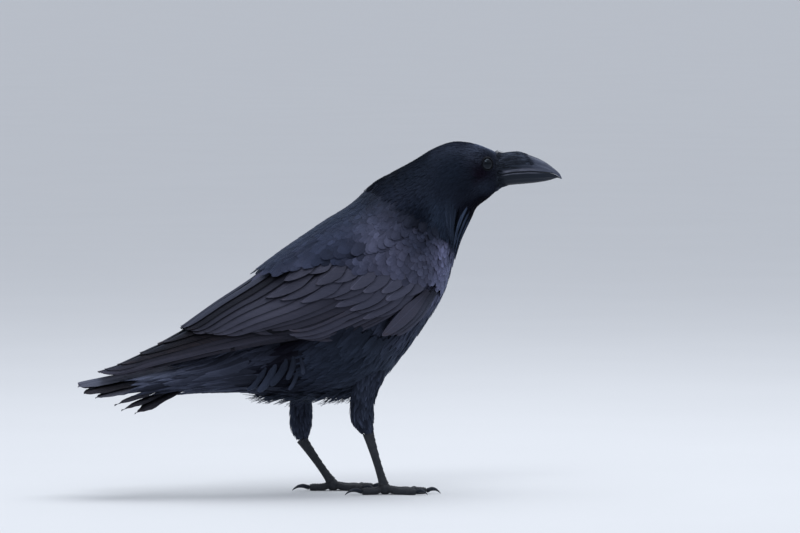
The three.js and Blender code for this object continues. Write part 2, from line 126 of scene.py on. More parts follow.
# Edges of the folded wing on the body: place, degrees from the back.
WING_FOOT = (
    (6.4, 130), (6.5, 142), (6.7, 154), (7.2, 162), (7.7, 162), (8.2, 154), (8.7, 143), (9.75, 138),
    (10.4, 136), (10.9, 126), (11.1, 106), (11.6, 99), (12.5, 92), (13.5, 79), (15, 68),
)
FOLD = (
    (6.5, 103), (6.8, 92), (7.05, 82), (8, 76.5), (8.7, 72), (9.2, 64), (10.2, 52), (11.3, 38), (12.4, 7),
)
# Lower edge of the neck's plumage: degrees from the back, place of the feather tips.
NECK_EDGE = (
    (0, 7.5), (41, 7.4), (70, 7.22), (85, 7.0), (96, 6.75), (111, 6.5), (127, 6.4), (150, 6.2), (180, 6.3),
)
# Lower edge of the small coverts: degrees from the back, place of the feather tips.
LESSER_EDGE = ((20, 11.4), (46, 10.7), (77, 9.85), (94, 9.3), (116, 8.75), (135, 8.55), (160, 8.5))
# Places at which the flight feathers come out from under the coverts, by degrees from the back.
COVERT_TIPS = ((20, 12.6), (33, 12.5), (66, 11.5), (92, 11.1), (112, 11))

# An eyeball: its middle, its place on the head, its radius and how deep its middle lies in the head.
EYE_X, EYE_Z, EYE_PLACE, EYE_RADIUS, EYE_SUNK = 153.5, 378.8, 0.95, 7.4, 3.6

# The bill from root to tip: x, z of each line, and the half width.
CULMEN = ((168.4, 389), (190, 391), (208, 386), (221, 380), (232, 372), (238, 366.5), (241, 360.5))
GAPE = ((168.4, 366), (180, 367.8), (199, 368.9), (218, 368.2), (229, 366.6), (236, 363.8), (240, 360))
LOWER_GAPE = tuple((x, z - 0.25) for x, z in GAPE)
GONYS = ((168.4, 350.5), (180, 353), (197, 354.5), (212, 356), (224, 358), (232, 360.3), (236, 362))
BILL_WIDTH = ((12.4,), (10.5,), (9.0,), (7.2,), (5.0,), (3.0,), (0.9,))

LEG_SPACING = 32.0  # of each leg from the middle


class Side(Enum):
    """The two sides of the bird."""

    RIGHT = -1
    LEFT = 1

    @property
    def label(self) -> str:
        """The side's name as the nodes spell it."""
        return self.name.lower()


def eased(value: Array | float, low: float, high: float) -> Array:
    """A smooth rise from 0 at low to 1 at high."""
    t = np.clip((np.asarray(value, float) - low) / (high - low), 0, 1)
    return t * t * (3 - 2 * t)


def mixed(a: Array | float, b: Array | float, share: Array | float) -> Array:
    """The value that lies the given share of the way from a to b."""
    return a + (np.asarray(b, float) - a) * share


def bell(value: Array | float, middle: float, width: float) -> Array:
    """A hump that is 1 at the middle and dies away over the width."""
    return np.exp(-(((value - middle) / width) ** 2))


def unit(vectors: Array) -> Array:
    """The vectors, drawn out or in to a length of 1."""
    return vectors / (np.linalg.norm(vectors, axis=-1, keepdims=True) + TINY)


def between(rows: Sequence, place: Array | float) -> Array:
    """The second column of a table at a place in its first, in straight lines."""
    lines = np.asarray(rows, float)
    return np.interp(place, lines[:, 0], lines[:, 1])


def through(rows: Sequence, place: Array | float) -> Array:
    """Smooth curves through the rows of a table.

    Args:
        rows: the rows, each of the same length.
        place: where to read them, counted in rows.

    Returns:
        One row for each place; beyond the table's ends the curves go on straight.
    """
    table = np.asarray(rows, float)
    place = np.asarray(place, float)
    at = np.clip(place, 0, len(table) - 1)
    ends = np.where(place[..., None] < 0, table[1] - table[0], table[-1] - table[-2])
    beyond = (place - at)[..., None] * ends
    first = np.minimum(np.floor(at).astype(int), len(table) - 2)
    t = (at - first)[..., None]
    table = np.vstack([2 * table[0] - table[1], table, 2 * table[-1] - table[-2]])
    p0, p1, p2, p3 = (table[first + k] for k in range(4))
    slope, next_slope, rise = (p2 - p0) / 2, (p3 - p1) / 2, p2 - p1
    bend = 3 * rise - 2 * slope - next_slope + t * (slope + next_slope - 2 * rise)
    return p1 + t * (slope + t * bend) + beyond


def turned(points: Array, share: Array | float = 1.0) -> Array:
    """Points of the head or neck, turned about the upright axis.

    Args:
        points: the points, as rows.
        share: how much of the head's turn each one makes.

    Returns:
        The turned points.
    """
    angle = HEAD_TURN * np.asarray(share, float)
    x, y = points[..., 0] - TURN_PIVOT, points[..., 1]
    c, s = np.cos(angle), np.sin(angle)
    return np.stack([TURN_PIVOT + x * c - y * s, x * s + y * c, points[..., 2]], -1)


def eye_centre(side: Side) -> Array:
    """The middle of an eyeball."""
    half_width = through(ENVELOPE, EYE_PLACE)[4]
    return turned(np.array([EYE_X, side.value * (half_width - EYE_SUNK), EYE_Z]))


def frame_shift() -> Array:
    """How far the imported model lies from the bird's own axes, read from the middle of its eyes."""
    middle = np.mean([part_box(f"eye_{side.label}") for side in Side], axis=(0, 1))
    return middle / MM - (eye_centre(Side.LEFT) + eye_centre(Side.RIGHT)) / 2


SHIFT = frame_shift()


def placed(points: Array) -> Array:
    """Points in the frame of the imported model, in metres."""
    return (points + SHIFT) * MM


# ---- surfaces that feathers lie on


class Surface:
    """A surface of two parameters, a along the lie of the feathers and b across it."""

    step = (0.02, 0.6)
    hand = 1.0

    def _form(self, a: Array, b: Array) -> Array:
        """The points at a and b, two arrays of one shape."""
        raise NotImplementedError

    def at(self, a: Array | float, b: Array | float) -> Array:
        """The points at a and b."""
        return self._form(*np.broadcast_arrays(np.asarray(a, float), np.asarray(b, float)))

    def spots(self, places: Array) -> Array:
        """The points at places that are given as rows of a and b."""
        return self.at(places[:, 0], places[:, 1])

    def stretch(self, places: Array) -> Array:
        """The millimetres along the surface for a change of 1 in a, at each place."""
        return np.linalg.norm(self.slopes(places[:, 0], places[:, 1])[0], axis=-1)

    def core(self, a: Array, b: float = 0.0) -> Array:
        """The middle between the point at b degrees and the one across from it."""
        return (self.at(a, 0 * a + b) + self.at(a, 0 * a + b + 180)) / 2

    def slopes(self, a: Array, b: Array) -> tuple[Array, Array, Array]:
        """The directions at a place.

        Args:
            a: places along the surface.
            b: places across it.

        Returns:
            The change of the point with a, its change with b, and the outward normal.
        """
        da, db = self.step
        along = (self.at(a + da, b) - self.at(a - da, b)) / (2 * da)
        across = (self.at(a, b + db) - self.at(a, b - db)) / (2 * db)
        return along, across, unit(np.cross(along, across) * self.hand)

    def shift(self, a: Array, b: Array, move: Array) -> tuple[Array, Array]:
        """The changes of place that carry a point by a short move along the surface.

        Args:
            a: places along the surface.
            b: places across it.
            move: the moves, in millimetres.

        Returns:
            The changes of a and of b.
        """
        along, across, _ = self.slopes(a, b)
        aa, ab, bb = (along**2).sum(-1), (along * across).sum(-1), (across**2).sum(-1)
        ma, mb = (move * along).sum(-1), (move * across).sum(-1)
        size = aa * bb - ab * ab + TINY
        return (ma * bb - mb * ab) / size, (mb * aa - ma * ab) / size


class Ladder(Surface):
    """The body's rounded envelope: a is the place along it, b the degrees from the back."""

    def __init__(self, rows: Sequence, side: Side = Side.LEFT, first: float = 0.0) -> None:
        """Takes the sections.

        Args:
            rows: x and z of the back, x and z of the belly, and half width of each.
            side: the side on which b is positive.
            first: the place of the first section on the whole body.
        """
        self.rows = np.asarray(rows, float)
        self.mirror = side.value
        self.hand = -1.0 * side.value
        self.first = first

    def _form(self, a: Array, b: Array) -> Array:
        """The points at places a and b degrees from the back."""
        row = through(self.rows, a)
        angle = np.radians(b * self.mirror)
        c, s = np.cos(angle), np.sin(angle)
        c = np.sign(c) * np.abs(c) ** (2 / FULLNESS)
        s = np.sign(s) * np.abs(s) ** (2 / FULLNESS)
        x = (row[..., 0] + row[..., 2]) / 2 + (row[..., 0] - row[..., 2]) / 2 * c
        z = (row[..., 1] + row[..., 3]) / 2 + (row[..., 1] - row[..., 3]) / 2 * c
        return turned(np.stack([x, row[..., 4] * s, z], -1), 1 - eased(a + self.first, *NECK_SPAN))


class Limb(Surface):
    """A round limb: a is the share of its length, b the degrees from its front, towards the outside."""

    step = (0.01, 2.0)

    def __init__(self, stations: Sequence, side: Side) -> None:
        """Takes [x, z, half depth, half width] stations from top to bottom, and the side of the leg."""
        self.stations = np.asarray(stations, float)
        self.hand = float(side.value)

    def _form(self, a: Array, b: Array) -> Array:
        """The points at share a of the limb and b degrees round it."""
        place, b = a * (len(self.stations) - 1), np.radians(b)
        x, z, depth, width = np.moveaxis(through(self.stations, place), -1, 0)
        line = self.stations[:, :2]
        ahead = unit(through(line, place + 0.05) - through(line, place - 0.05))
        front = np.cos(b) * depth
        y = self.hand * (LEG_SPACING + np.sin(b) * width)
        return np.stack([x - ahead[..., 1] * front, y, z + ahead[..., 0] * front], -1)


class Mandible(Surface):
    """One half of the bill: a is the place along it, b the degrees from its left edge over the ridge."""

    step = (0.02, 1.0)

    def __init__(self, upper: bool, grow: float = 0.0) -> None:
        """Takes whether it is the upper half, and how much wider to make it, in millimetres."""
        self.ridge, self.edge = (CULMEN, GAPE) if upper else (GONYS, LOWER_GAPE)
        self.sharpness = 0.8 if upper else 0.6
        self.grow = grow
        self.hand = -1.0 if upper else 1.0

    def _form(self, a: Array, b: Array) -> Array:
        """The points at place a and b degrees from the left edge."""
        b = np.radians(b)
        ridge, edge = through(self.ridge, a), through(self.edge, a)
        half = through(BILL_WIDTH, a)[..., 0] + self.grow
        height = np.clip(np.sin(b), 0, None) ** self.sharpness
        x = mixed(edge[..., 0], ridge[..., 0], height)
        z = mixed(edge[..., 1], ridge[..., 1], height) - np.sin(b) * self.grow * self.hand
        return turned(np.stack([x, half * np.cos(b), z], -1))


class TailFan(Surface):
    """The spread of the tail: a is the share of its length from its root, b from -1, right, to 1, left."""

    step = (0.01, 0.02)
    ends = (-150.0, -327.0)
    root_height = 150.5
    slope = 0.127
    half_widths = (36.0, 47.0)
    droop, roll, arch = 22.5, 13.5, 13.0  # millimetres: the sides hang, the fan rolls and its root is vaulted

    def __init__(self, under: float = 0.0) -> None:
        """Takes how far below the fan's upper face this one lies."""
        self.under = under
        self.hand = 1.0 if under else -1.0

    def _form(self, a: Array, b: Array) -> Array:
        """The points at share a of the length and b of the half width."""
        x = mixed(*self.ends, a)
        hang = self.droop * np.abs(b) ** 1.5 - self.roll * b * eased(a, 0.1, 0.6)
        arch = self.arch * (1 - a) * np.clip(1 - np.abs(b) ** 1.5, 0, 1)
        z = self.root_height + self.slope * (x - self.ends[0]) + arch - hang - self.under
        return np.stack([x, b * mixed(*self.half_widths, a), z], -1)


class Digit(Surface):
    """A toe or claw on the floor: a is the share of its length, b the degrees from its top."""

    step = (0.01, 2.0)
    pressed = 0.84

    def __init__(
        self, foot: Span, side: Side, yaw: float, start: float, length: float, radius: float, profile: tuple
    ) -> None:
        """Lays the digit out from the middle of the foot.

        Args:
            foot: x and z of the foot's middle.
            side: the side of the leg.
            yaw: its heading, in degrees from straight ahead towards the outer side.
            start: where it starts, in millimetres from the foot's middle.
            length: its length.
            radius: its half thickness.
            profile: share of the length, lift and thickness of its outline, the last two in radii.
        """
        angle = math.radians(yaw) * side.value
        self.heading = np.array([math.cos(angle), math.sin(angle), 0.0])
        self.aside = np.array([-math.sin(angle), math.cos(angle), 0.0])
        self.start = np.array([foot[0], side.value * LEG_SPACING, 0.0]) + self.heading * start
        self.length, self.radius = length, radius
        self.profile = np.asarray(profile, float)

    def _form(self, a: Array, b: Array) -> Array:
        """The points at share a of the length and b degrees round it."""
        b = np.radians(b)
        place = np.interp(a, self.profile[:, 0], np.arange(len(self.profile)))
        lift, thick = np.moveaxis(through(self.profile[:, 1:], place), -1, 0)
        radius = self.radius * thick
        middle = self.start + self.heading * (a * self.length)[..., None]
        height = self.radius * (self.pressed + lift) + np.cos(b) * radius
        out = middle + self.aside * (np.sin(b) * radius)[..., None]
        return out + np.array([0.0, 0.0, 1.0]) * np.maximum(height, 0)[..., None]


# ---- feathers


class Outline(Enum):
    """Outlines of a vane: width at the root, where it is full, where it narrows, and two exponents."""

    ROUND = (0.45, 0.35, 0.45, 2.0, 0.5)
    OVAL = (0.35, 0.5, 0.4, 1.9, 0.62)
    BLUNT = (0.5, 0.3, 0.8, 2.2, 0.5)
    POINTED = (0.5, 0.35, 0.3, 1.7, 0.8)
    LANCE = (0.5, 0.3, 0.2, 1.4, 0.9)
    FLIGHT = (0.45, 0.2, 0.84, 2.0, 0.5)

    def half(self, s: Array) -> Array:
        """The half width at shares of the length.

        Args:
            s: the shares.

        Returns:
            The half widths, at most 1 and never quite 0.
        """
        root, full, narrow, bow, end = self.value
        base = root + (1 - root) * eased(s, 0, full)
        taper = np.clip((s - narrow) / (1 - narrow), 0, 1)
        return np.maximum(base * (1 - taper**bow) ** end, 0.05)


def bent_sheet(form: Form, rows: int, columns: int, merge: float = 0.01) -> BMesh:
    """A sheet bent into a closed form.

    Args:
        form: gives the points for shares along (0 to 1) and across (0 to 1) the sheet.
        rows: how many strips the sheet has along.
        columns: how many it has across.
        merge: points nearer than this become one.

    Returns:
        The form, its seams merged, its open ends filled and its faces turned out.
    """
    bm = bmesh.new()
    bmesh.ops.create_grid(bm, x_segments=rows, y_segments=columns, size=0.5)
    flat = np.array([v.co for v in bm.verts]) + 0.5
    for vert, point in zip(bm.verts, form(flat[:, 0], flat[:, 1])):
        vert.co = point
    bmesh.ops.remove_doubles(bm, verts=bm.verts, dist=merge)
    bmesh.ops.holes_fill(bm, edges=[e for e in bm.edges if e.is_boundary], sides=0)
    bmesh.ops.recalc_face_normals(bm, faces=bm.faces)
    return bm


class Pattern:
    """One feather a unit long and wide, which is laid many times."""

    flat_lift = 0.1  # half the thickness of the flat form while it is made
    crowding = 1.25  # draws the strips of a wide vane towards its shaft

    def __init__(self, places: Sequence[float], columns: int) -> None:
        """Makes the feather.

        Args:
            places: the shares of the length that have a section.
            columns: the strips across the vane.
        """
        self.places = np.asarray(places, float)
        last = len(places) - 1
        top = np.linspace(-1, 1, columns + 1)
        if columns > 2:
            top = np.sign(top) * np.abs(top) ** self.crowding
        around = np.concatenate([top, top[-2:0:-1], top[:1]])
        edge, face = np.zeros(1), np.ones(columns - 1)
        lift = np.concatenate([edge, face, edge, -face, edge])

        def section(s: Array, t: Array) -> Array:
            """The flat form, whose x counts the sections."""
            k = np.rint(t * 2 * columns).astype(int)
            return np.stack([np.rint(s * last), around[k], lift[k] * self.flat_lift], -1)

        bm = bent_sheet(section, last, 2 * columns, 1e-6)
        flat = np.array([v.co for v in bm.verts])
        self.ring = np.rint(flat[:, 0]).astype(int)
        self.across = flat[:, 1]
        self.lift = flat[:, 2] / self.flat_lift
        bm.verts.index_update()
        self.sizes = np.array([len(f.verts) for f in bm.faces])
        self.corners = np.array([v.index for f in bm.faces for v in f.verts])
        under = np.repeat([float(f.calc_center_median().z < -1e-4) for f in bm.faces], self.sizes)
        out = (self.across[self.corners] + 1) / 4 + under / 2
        self.patch = np.stack([out, self.places[self.ring[self.corners]]], -1)
        bm.free()

    def order(self, points: Array) -> Array:
        """The order of the corners that turns the faces of a laid feather outwards.

        Args:
            points: the points of the laid feather.

        Returns:
            Places in the list of corners.
        """
        starts, middle = np.cumsum(self.sizes) - self.sizes, points.mean(0)
        volume = 0.0
        for start, size in zip(starts, self.sizes):
            ring = points[self.corners[start : start + size]] - middle
            for k in range(1, size - 1):
                volume += float(np.dot(ring[0], np.cross(ring[k], ring[k + 1])))
        if volume >= 0:
            return np.arange(len(self.corners))
        return np.concatenate([np.arange(a + k - 1, a - 1, -1) for a, k in zip(starts, self.sizes)])


SCALE = Pattern((0, 0.34, 0.62, 0.82, 0.95, 1), 2)
BRISTLE = Pattern((0, 0.4, 0.75, 1), 2)
LOCK = Pattern((0, 0.25, 0.5, 0.72, 0.9, 1), 2)
VANE = Pattern((*np.linspace(0, 0.8, 15), 0.84, 0.88, 0.915, 0.945, 0.965, 0.982, 0.993, 1), 8)
SHEATH = Pattern((0, 0.3, 0.5, 0.66, 0.79, 0.89, 0.95, 0.985, 1), 4)
COVERT = Pattern((0, 0.12, 0.25, 0.38, 0.5, 0.62, 0.72, 0.81, 0.88, 0.93, 0.97, 1), 6)
SHAFT_POINTS = 30  # patterns with more points than this carry a raised shaft
SHAFT_HEIGHT, SHAFT_WIDTH = 0.16, 0.12


@dataclass
class Lay:
    """Feathers laid on a surface, one row of each array for each feather; lengths in millimetres."""

    surface: Surface
    pattern: Pattern
    outline: Outline
    root: Array
    tip: Array
    half: Array
    tint: Array
    low: Array | float = -1.0  # height of the root and, below, of the tip over the surface
    high: Array | float = 0.5
    camber: Array | float = 0.12
    tilt: Array | float = 0.0
    thickness: float = 0.16
    lead: Array | float = 1.0  # width of the side towards smaller b; both sides make 2
    bow: Array | float = 0.0
    fray: float = 0.0
    point: Array | float = 1.0  # above 1 the vane is drawn out to a finer point
    sink: Form | None = None
    wear: Array | float = 0.0
    shingled: bool = False  # each feather is partly covered by the next one
    bares: float = 1.0  # the side that stays bare: 1 towards greater b

    @property
    def count(self) -> int:
        """How many feathers there are."""
        return len(self.root)

    def _each(self, value: Array | float) -> Array:
        """The value as one column, a row for each feather."""
        return np.broadcast_to(np.asarray(value, float), (self.count,))[:, None]

    def _paths(self) -> Array:
        """The place of each feather's sections on the surface."""
        return self.root[:, None, :] + (self.tip - self.root)[:, None, :] * self.pattern.places[:, None]

    def _widths(self) -> Array:
        """The half width of each feather at its sections."""
        return self.outline.half(self.pattern.places) ** self._each(self.point) * self._each(self.half)

    def points(self, rng: Rng) -> tuple[Array, Array]:
        """Lays the feathers.

        Args:
            rng: the random source of the frayed edges.

        Returns:
            Every point of the feathers, and each point's place on its vane in millimetres.
        """
        pattern, surface, s = self.pattern, self.surface, self.pattern.places[None, :]
        path = self._paths()
        a, b = path[..., 0], path[..., 1]
        centre = surface.at(a, b)
        _, _, normal = surface.slopes(a, b)
        side = np.cross(unit(np.gradient(centre, axis=1)), normal) * (-surface.hand)
        width = self._widths()
        along = np.linalg.norm(np.diff(centre, axis=1), axis=-1)
        along = np.concatenate([np.zeros((self.count, 1)), np.cumsum(along, axis=1)], axis=1)

        ring, across, lift = pattern.ring, pattern.across[None, :], pattern.lift[None, :]
        vane = np.where(across < 0, self._each(self.lead), 2 - self._each(self.lead))
        if self.fray:
            torn = rng.uniform(0, self.fray, (self.count, len(pattern.places), 2))
            torn *= eased(pattern.places, 0.05, 0.5)[None, :, None]
            vane = vane * (1 - np.where(across < 0, torn[:, ring, 0], torn[:, ring, 1]))
        offset = across * width[:, ring] * vane
        offset = offset + self._each(self.bow) * (np.sin(np.pi * s * 0.5) ** 2)[:, ring]
        da, db = surface.shift(a[:, ring], b[:, ring], side[:, ring] * offset[..., None])
        a, b = a[:, ring] + da, b[:, ring] + db
        height = mixed(self._each(self.low), self._each(self.high), s)[:, ring]
        if self.sink is not None:
            height = height - self.sink(a, b)
        height = height + self._each(self.camber) * width[:, ring] * (1 - across**2)
        height = height + self._each(self.tilt) * across + self.thickness * lift
        if across.size > SHAFT_POINTS:
            height = height + np.where(lift > 0, SHAFT_HEIGHT * bell(across, 0, SHAFT_WIDTH), 0)
        on_vane = np.stack([np.broadcast_to(offset, height.shape), along[:, ring]], -1)
        return surface.at(a, b) + normal[:, ring] * height[..., None], on_vane

    def bared(self, offset: Array) -> Array:
        """How far points lie outside the edge of the feather over them.

        Args:
            offset: how far each point lies from its feather's shaft.

        Returns:
            0.5 at the edge, and 1 more for each BARED_SPAN millimetres outside it, within 0 and 1.
        """
        if not self.shingled:
            return np.ones_like(offset)
        path = self._paths()
        line = self.surface.at(path[..., 0], path[..., 1])
        edge = np.full(line.shape[:2], BARED_SPAN)
        reach = self._widths() * self._each(2 - self.lead if self.bares > 0 else self.lead)
        for k in range(self.count - 1):
            apart = np.linalg.norm(line[k][:, None] - line[k + 1][None], axis=-1)
            edge[k] = apart.min(axis=1) - reach[k + 1][apart.argmin(axis=1)]
        return np.clip(0.5 + (offset * self.bares + edge[:, self.pattern.ring]) / BARED_SPAN, 0, 1)


def aimed(surface: Surface, root: Array, heading: Array, length: Array) -> Array:
    """The tips of feathers that leave their roots in a given heading.

    Args:
        surface: what they lie on.
        root: their roots.
        heading: radians from the surface's own lie, towards greater b.
        length: their lengths.

    Returns:
        The tips, as places on the surface.
    """
    along, across, _ = surface.slopes(root[:, 0], root[:, 1])
    along = unit(along)
    across = unit(across - (across * along).sum(-1, keepdims=True) * along)
    move = (np.cos(heading)[:, None] * along + np.sin(heading)[:, None] * across) * length[:, None]
    half = surface.shift(root[:, 0], root[:, 1], move / 2)
    middle = root + np.stack(half, -1)
    rest = surface.shift(middle[:, 0], middle[:, 1], move / 2)
    return middle + np.stack(rest, -1)


@dataclass(frozen=True)
class Graded:
    """A measure that changes smoothly between two places along a surface."""

    start: float
    end: float
    first: float = 0.0
    last: float = 1.0

    def at(self, place: Array | float) -> Array:
        """The measure at a place."""
        return mixed(self.start, self.end, eased(place, self.first, self.last))


@dataclass(frozen=True)
class Rows:
    """Staggered rows of roots, with the millimetres between rows and between neighbours."""

    first: float
    last: float
    pitch: Graded
    gap: Graded
    loose: float = 0.22  # how far a root strays, as a part of the pitch

    def over(self, surface: Surface, edges: Edges, rng: Rng) -> Array:
        """Spreads the roots over a part of a surface.

        Args:
            surface: what they lie on.
            edges: the two ends of a row, by its place.
            rng: the random source.

        Returns:
            The roots, as places on the surface.
        """
        roots = []
        a, turn = self.first, 0
        while a < self.last:
            pitch, gap = self.pitch.at(a), self.gap.at(a)
            b = np.linspace(*edges(a), 181)
            line = surface.at(np.full_like(b, a), b)
            length = np.concatenate([[0], np.cumsum(np.linalg.norm(np.diff(line, axis=0), axis=-1))])
            count = int(length[-1] / gap)
            if count:
                at = (np.arange(count) + 0.25 + 0.5 * (turn % 2)) * (length[-1] / count)
                at += rng.normal(0, gap * self.loose, count)
                b_at = np.interp(at, length, b)
                stretch = surface.stretch(np.stack([np.full(count, a), b_at], -1))
                roots.append(np.stack([a + rng.normal(0, pitch * self.loose, count) / stretch, b_at], -1))
                a += pitch / float(np.median(stretch))
            else:
                a += pitch / 25
            turn += 1
        return np.concatenate(roots)


def all_round(_: float) -> Span:
    """The ends of a row that goes all the way round."""
    return -180.0, 180.0


# ---- tints

@dataclass(frozen=True)
class Tint:
    """A colour of the plumage, and where it is found; some are painted shade and some painted sheen."""

    name: str
    place: tuple[float, float, float]
    colour: Colour


PLUMAGE = (
    # painted highlight: a pale sheen painted along the forehead, strongest at its front
    Tint("front of the forehead", (158, 6, 393), (0.225, 0.265, 0.380)),
    Tint("forehead", (150, 7, 398), (0.100, 0.122, 0.190)),
    Tint("front of the crown", (138, 8, 402), (0.006, 0.008, 0.014)),
    # painted shadow: a dark line painted above the eye
    Tint("brow", (154, 22, 388), (0.010, 0.012, 0.020)),
    Tint("side of the forehead", (154, 16, 392.5), (0.022, 0.027, 0.042)),
    Tint("lores", (166, 13, 374), (0.005, 0.006, 0.010)),
    # painted shadow: near black painted behind and below the eye
    Tint("behind the eye", (145, 28, 364), (0.006, 0.003, 0.007)),
    Tint("cheek", (128, 32, 362), (0.009, 0.012, 0.020)),
    Tint("crown", (129, 4, 402), (0.005, 0.007, 0.013)),
    Tint("side of the head", (118, 30, 372), (0.010, 0.014, 0.024)),
    Tint("malar stripe", (149, 28, 355), (0.020, 0.026, 0.042)),
    # painted shadow under the overhanging edge of the cheek, ahead and behind
    Tint("under the cheek", (147, 18, 338), (0.003, 0.003, 0.006)),
    Tint("under the cheek, behind", (130, 22, 325), (0.003, 0.003, 0.006)),
    Tint("nape", (82, 0, 388), (0.006, 0.0085, 0.014)),
    Tint("back of the neck", (58, 0, 372), (0.004, 0.006, 0.010)),
    Tint("lower neck", (30, 0, 355), (0.006, 0.008, 0.014)),
    Tint("neck above the wing", (75, 40, 325), (0.005, 0.007, 0.013)),
    Tint("side of the neck", (99, 38, 325), (0.019, 0.027, 0.046)),
    Tint("foot of the neck", (101, 42, 305), (0.016, 0.023, 0.039)),
    Tint("throat", (122, 22, 303), (0.020, 0.028, 0.046)),
    Tint("upper breast", (118, 0, 260), (0.018, 0.025, 0.042)),
    Tint("mantle", (-10, 0, 330), (0.012, 0.017, 0.033)),
    Tint("scapulars", (-30, 60, 300), (0.019, 0.024, 0.045)),
    Tint("front scapulars", (66, 57, 294), (0.030, 0.035, 0.060)),
    # painted sheen: pale painted on the top of the back, where the sky lights it
    Tint("end of the back", (-122, 10, 254), (0.090, 0.095, 0.165)),
    Tint("lower back", (-88, 14, 274), (0.020, 0.025, 0.046)),
    # painted highlight: the violet-blue gloss of the wrist painted pale, on the wrist and its foot
    Tint("wrist", (99, 42, 283), (0.130, 0.135, 0.225)),
    Tint("foot of the wrist", (104, 36, 268), (0.130, 0.135, 0.225)),
    Tint("inner shoulder", (64, 60, 268), (0.066, 0.072, 0.116)),
    Tint("shoulder", (40, 68, 280), (0.072, 0.077, 0.126)),
    Tint("breast", (80, 0, 200), (0.016, 0.022, 0.038)),
    Tint("thigh", (15, 42, 140), (0.030, 0.038, 0.060)),
    Tint("flank", (-10, 60, 160), (0.018, 0.024, 0.040)),
    Tint("flank, behind", (-52, 58, 160), (0.020, 0.026, 0.044)),
    # painted shade in the hollow of the flank, under and between its loose feathers, down to the sixth line
    # below
    Tint("hollow of the flank", (-82, 54, 178), (0.003, 0.002, 0.005)),
    Tint("hollow of the flank, below", (-69, 55, 164), (0.006, 0.006, 0.010)),
    Tint("under the loose feathers", (-84, 46, 147), (0.003, 0.003, 0.006)),
    Tint("under the loose feathers, behind", (-106, 36, 130), (0.003, 0.003, 0.006)),
    Tint("between the loose feathers", (-95, 44, 145), (0.002, 0.002, 0.005)),
    Tint("between the loose feathers, ahead", (-76, 50, 154), (0.003, 0.003, 0.006)),
    Tint("behind the flank", (-98, 47, 163), (0.026, 0.030, 0.048)),
    Tint("before the tail", (-134, 38, 150), (0.034, 0.041, 0.066)),
    Tint("belly", (-30, 0, 112), (0.034, 0.041, 0.066)),
    Tint("rump", (-150, 0, 180), (0.016, 0.022, 0.036)),
)
BLEND_SOFTNESS, BLEND_POWER = 60, 2.2


def plumage_tint(points: Array) -> Array:
    """The colour of the body's plumage, with its painted shade and sheen, blended between the named places.

    Args:
        points: the points, as rows.

    Returns:
        A colour for each point.
    """
    places = np.array([t.place for t in PLUMAGE], float)
    colours = np.array([t.colour for t in PLUMAGE])
    folded = points * np.array([1, 0, 1]) + np.abs(points) * np.array([0, 1, 0])
    apart = ((folded[:, None, :] - places) ** 2).sum(-1) + BLEND_SOFTNESS
    weight = apart**-BLEND_POWER
    return (weight[..., None] * colours).sum(1) / weight.sum(1, keepdims=True)


def varied(tint: Array, rng: Rng, spread: float = 0.16) -> Array:
    """Tints made a little lighter or darker, feather by feather."""
    return tint * np.exp(rng.normal(0, spread, len(tint)))[:, None]


def dyed(colour: Colour, count: int, rng: Rng, spread: float) -> Array:
    """One colour for a number of feathers, made a little lighter or darker on each."""
    return varied(np.tile(colour, (count, 1)), rng, spread)


# ---- meshes and objects


def put(name: str, data: bpy.types.ID) -> bpy.types.Object:
    """A new object in the scene that shows the data."""
    thing = bpy.data.objects.new(name, data)
    bpy.context.scene.collection.objects.link(thing)
    return thing


def show(
    name: str, mesh: Mesh, material: Material, nodes: Sequence[str] = ()
) -> None:
    """Puts a mesh in the scene as a piece of the bird.

    Args:
        name: the piece's name.
        mesh: its mesh, in the frame.
        material: its material.
        nodes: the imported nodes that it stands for.
    """
    mesh.materials.clear()
    mesh.materials.append(material)
    piece = put(name, mesh)
    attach(piece, "root")
    if nodes:
        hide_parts(*nodes)
    log.info("%s: %d triangles", name, len(mesh.loops) - 2 * len(mesh.polygons))


def colour_points(mesh: Mesh, name: str, values: Array) -> None:
    """Gives a mesh a colour for each point.

    Args:
        mesh: the mesh.
        name: the colour attribute's name.
        values: two to four columns; the ones that are missing are 1.
    """
    colours = np.ones((len(values), 4), np.float32)
    colours[:, : values.shape[1]] = values
    mesh.color_attributes.new(name, "FLOAT_COLOR", "POINT").data.foreach_set("color", colours.ravel())


def unwrap(mesh: Mesh, name: str, values: Array) -> None:
    """Gives a mesh a UV map."""
    layer = mesh.uv_layers.new(name=name, do_init=False)
    layer.uv.foreach_set("vector", values.astype(np.float32).ravel())


def smooth_mesh(bm: BMesh, name: str, crease: float = 60.0, marks: Marks | None = None) -> Mesh:
    """A mesh from a form, smooth but for sharp edges.

    Args:
        bm: the form, in the bird's own millimetres.
        name: the mesh's name.
        crease: edges sharper than this, in degrees, stay sharp.
        marks: gives two marks, from 0 to 1, as columns for points as rows.

    Returns:
        The mesh, in the frame.
    """
    points = np.array([v.co for v in bm.verts])
    for vert, point in zip(bm.verts, placed(points)):
        vert.co = point
    mesh = bpy.data.meshes.new(name)
    bm.to_mesh(mesh)
    bm.free()
    mesh.polygons.foreach_set("use_smooth", np.ones(len(mesh.polygons), bool))
    mesh.set_sharp_from_angle(angle=math.radians(crease))
    if marks is not None:
        colour_points(mesh, "Marks", marks(points))
    return mesh


def joined(forms: Sequence[BMesh]) -> BMesh:
    """Several forms as one.

    Args:
        forms: the forms, which are freed.

    Returns:
        The whole.
    """
    whole = bmesh.new()
    for bm in forms:
        part = bpy.data.meshes.new("part")
        bm.to_mesh(part)
        bm.free()
        whole.from_mesh(part)
        bpy.data.meshes.remove(part)
    return whole


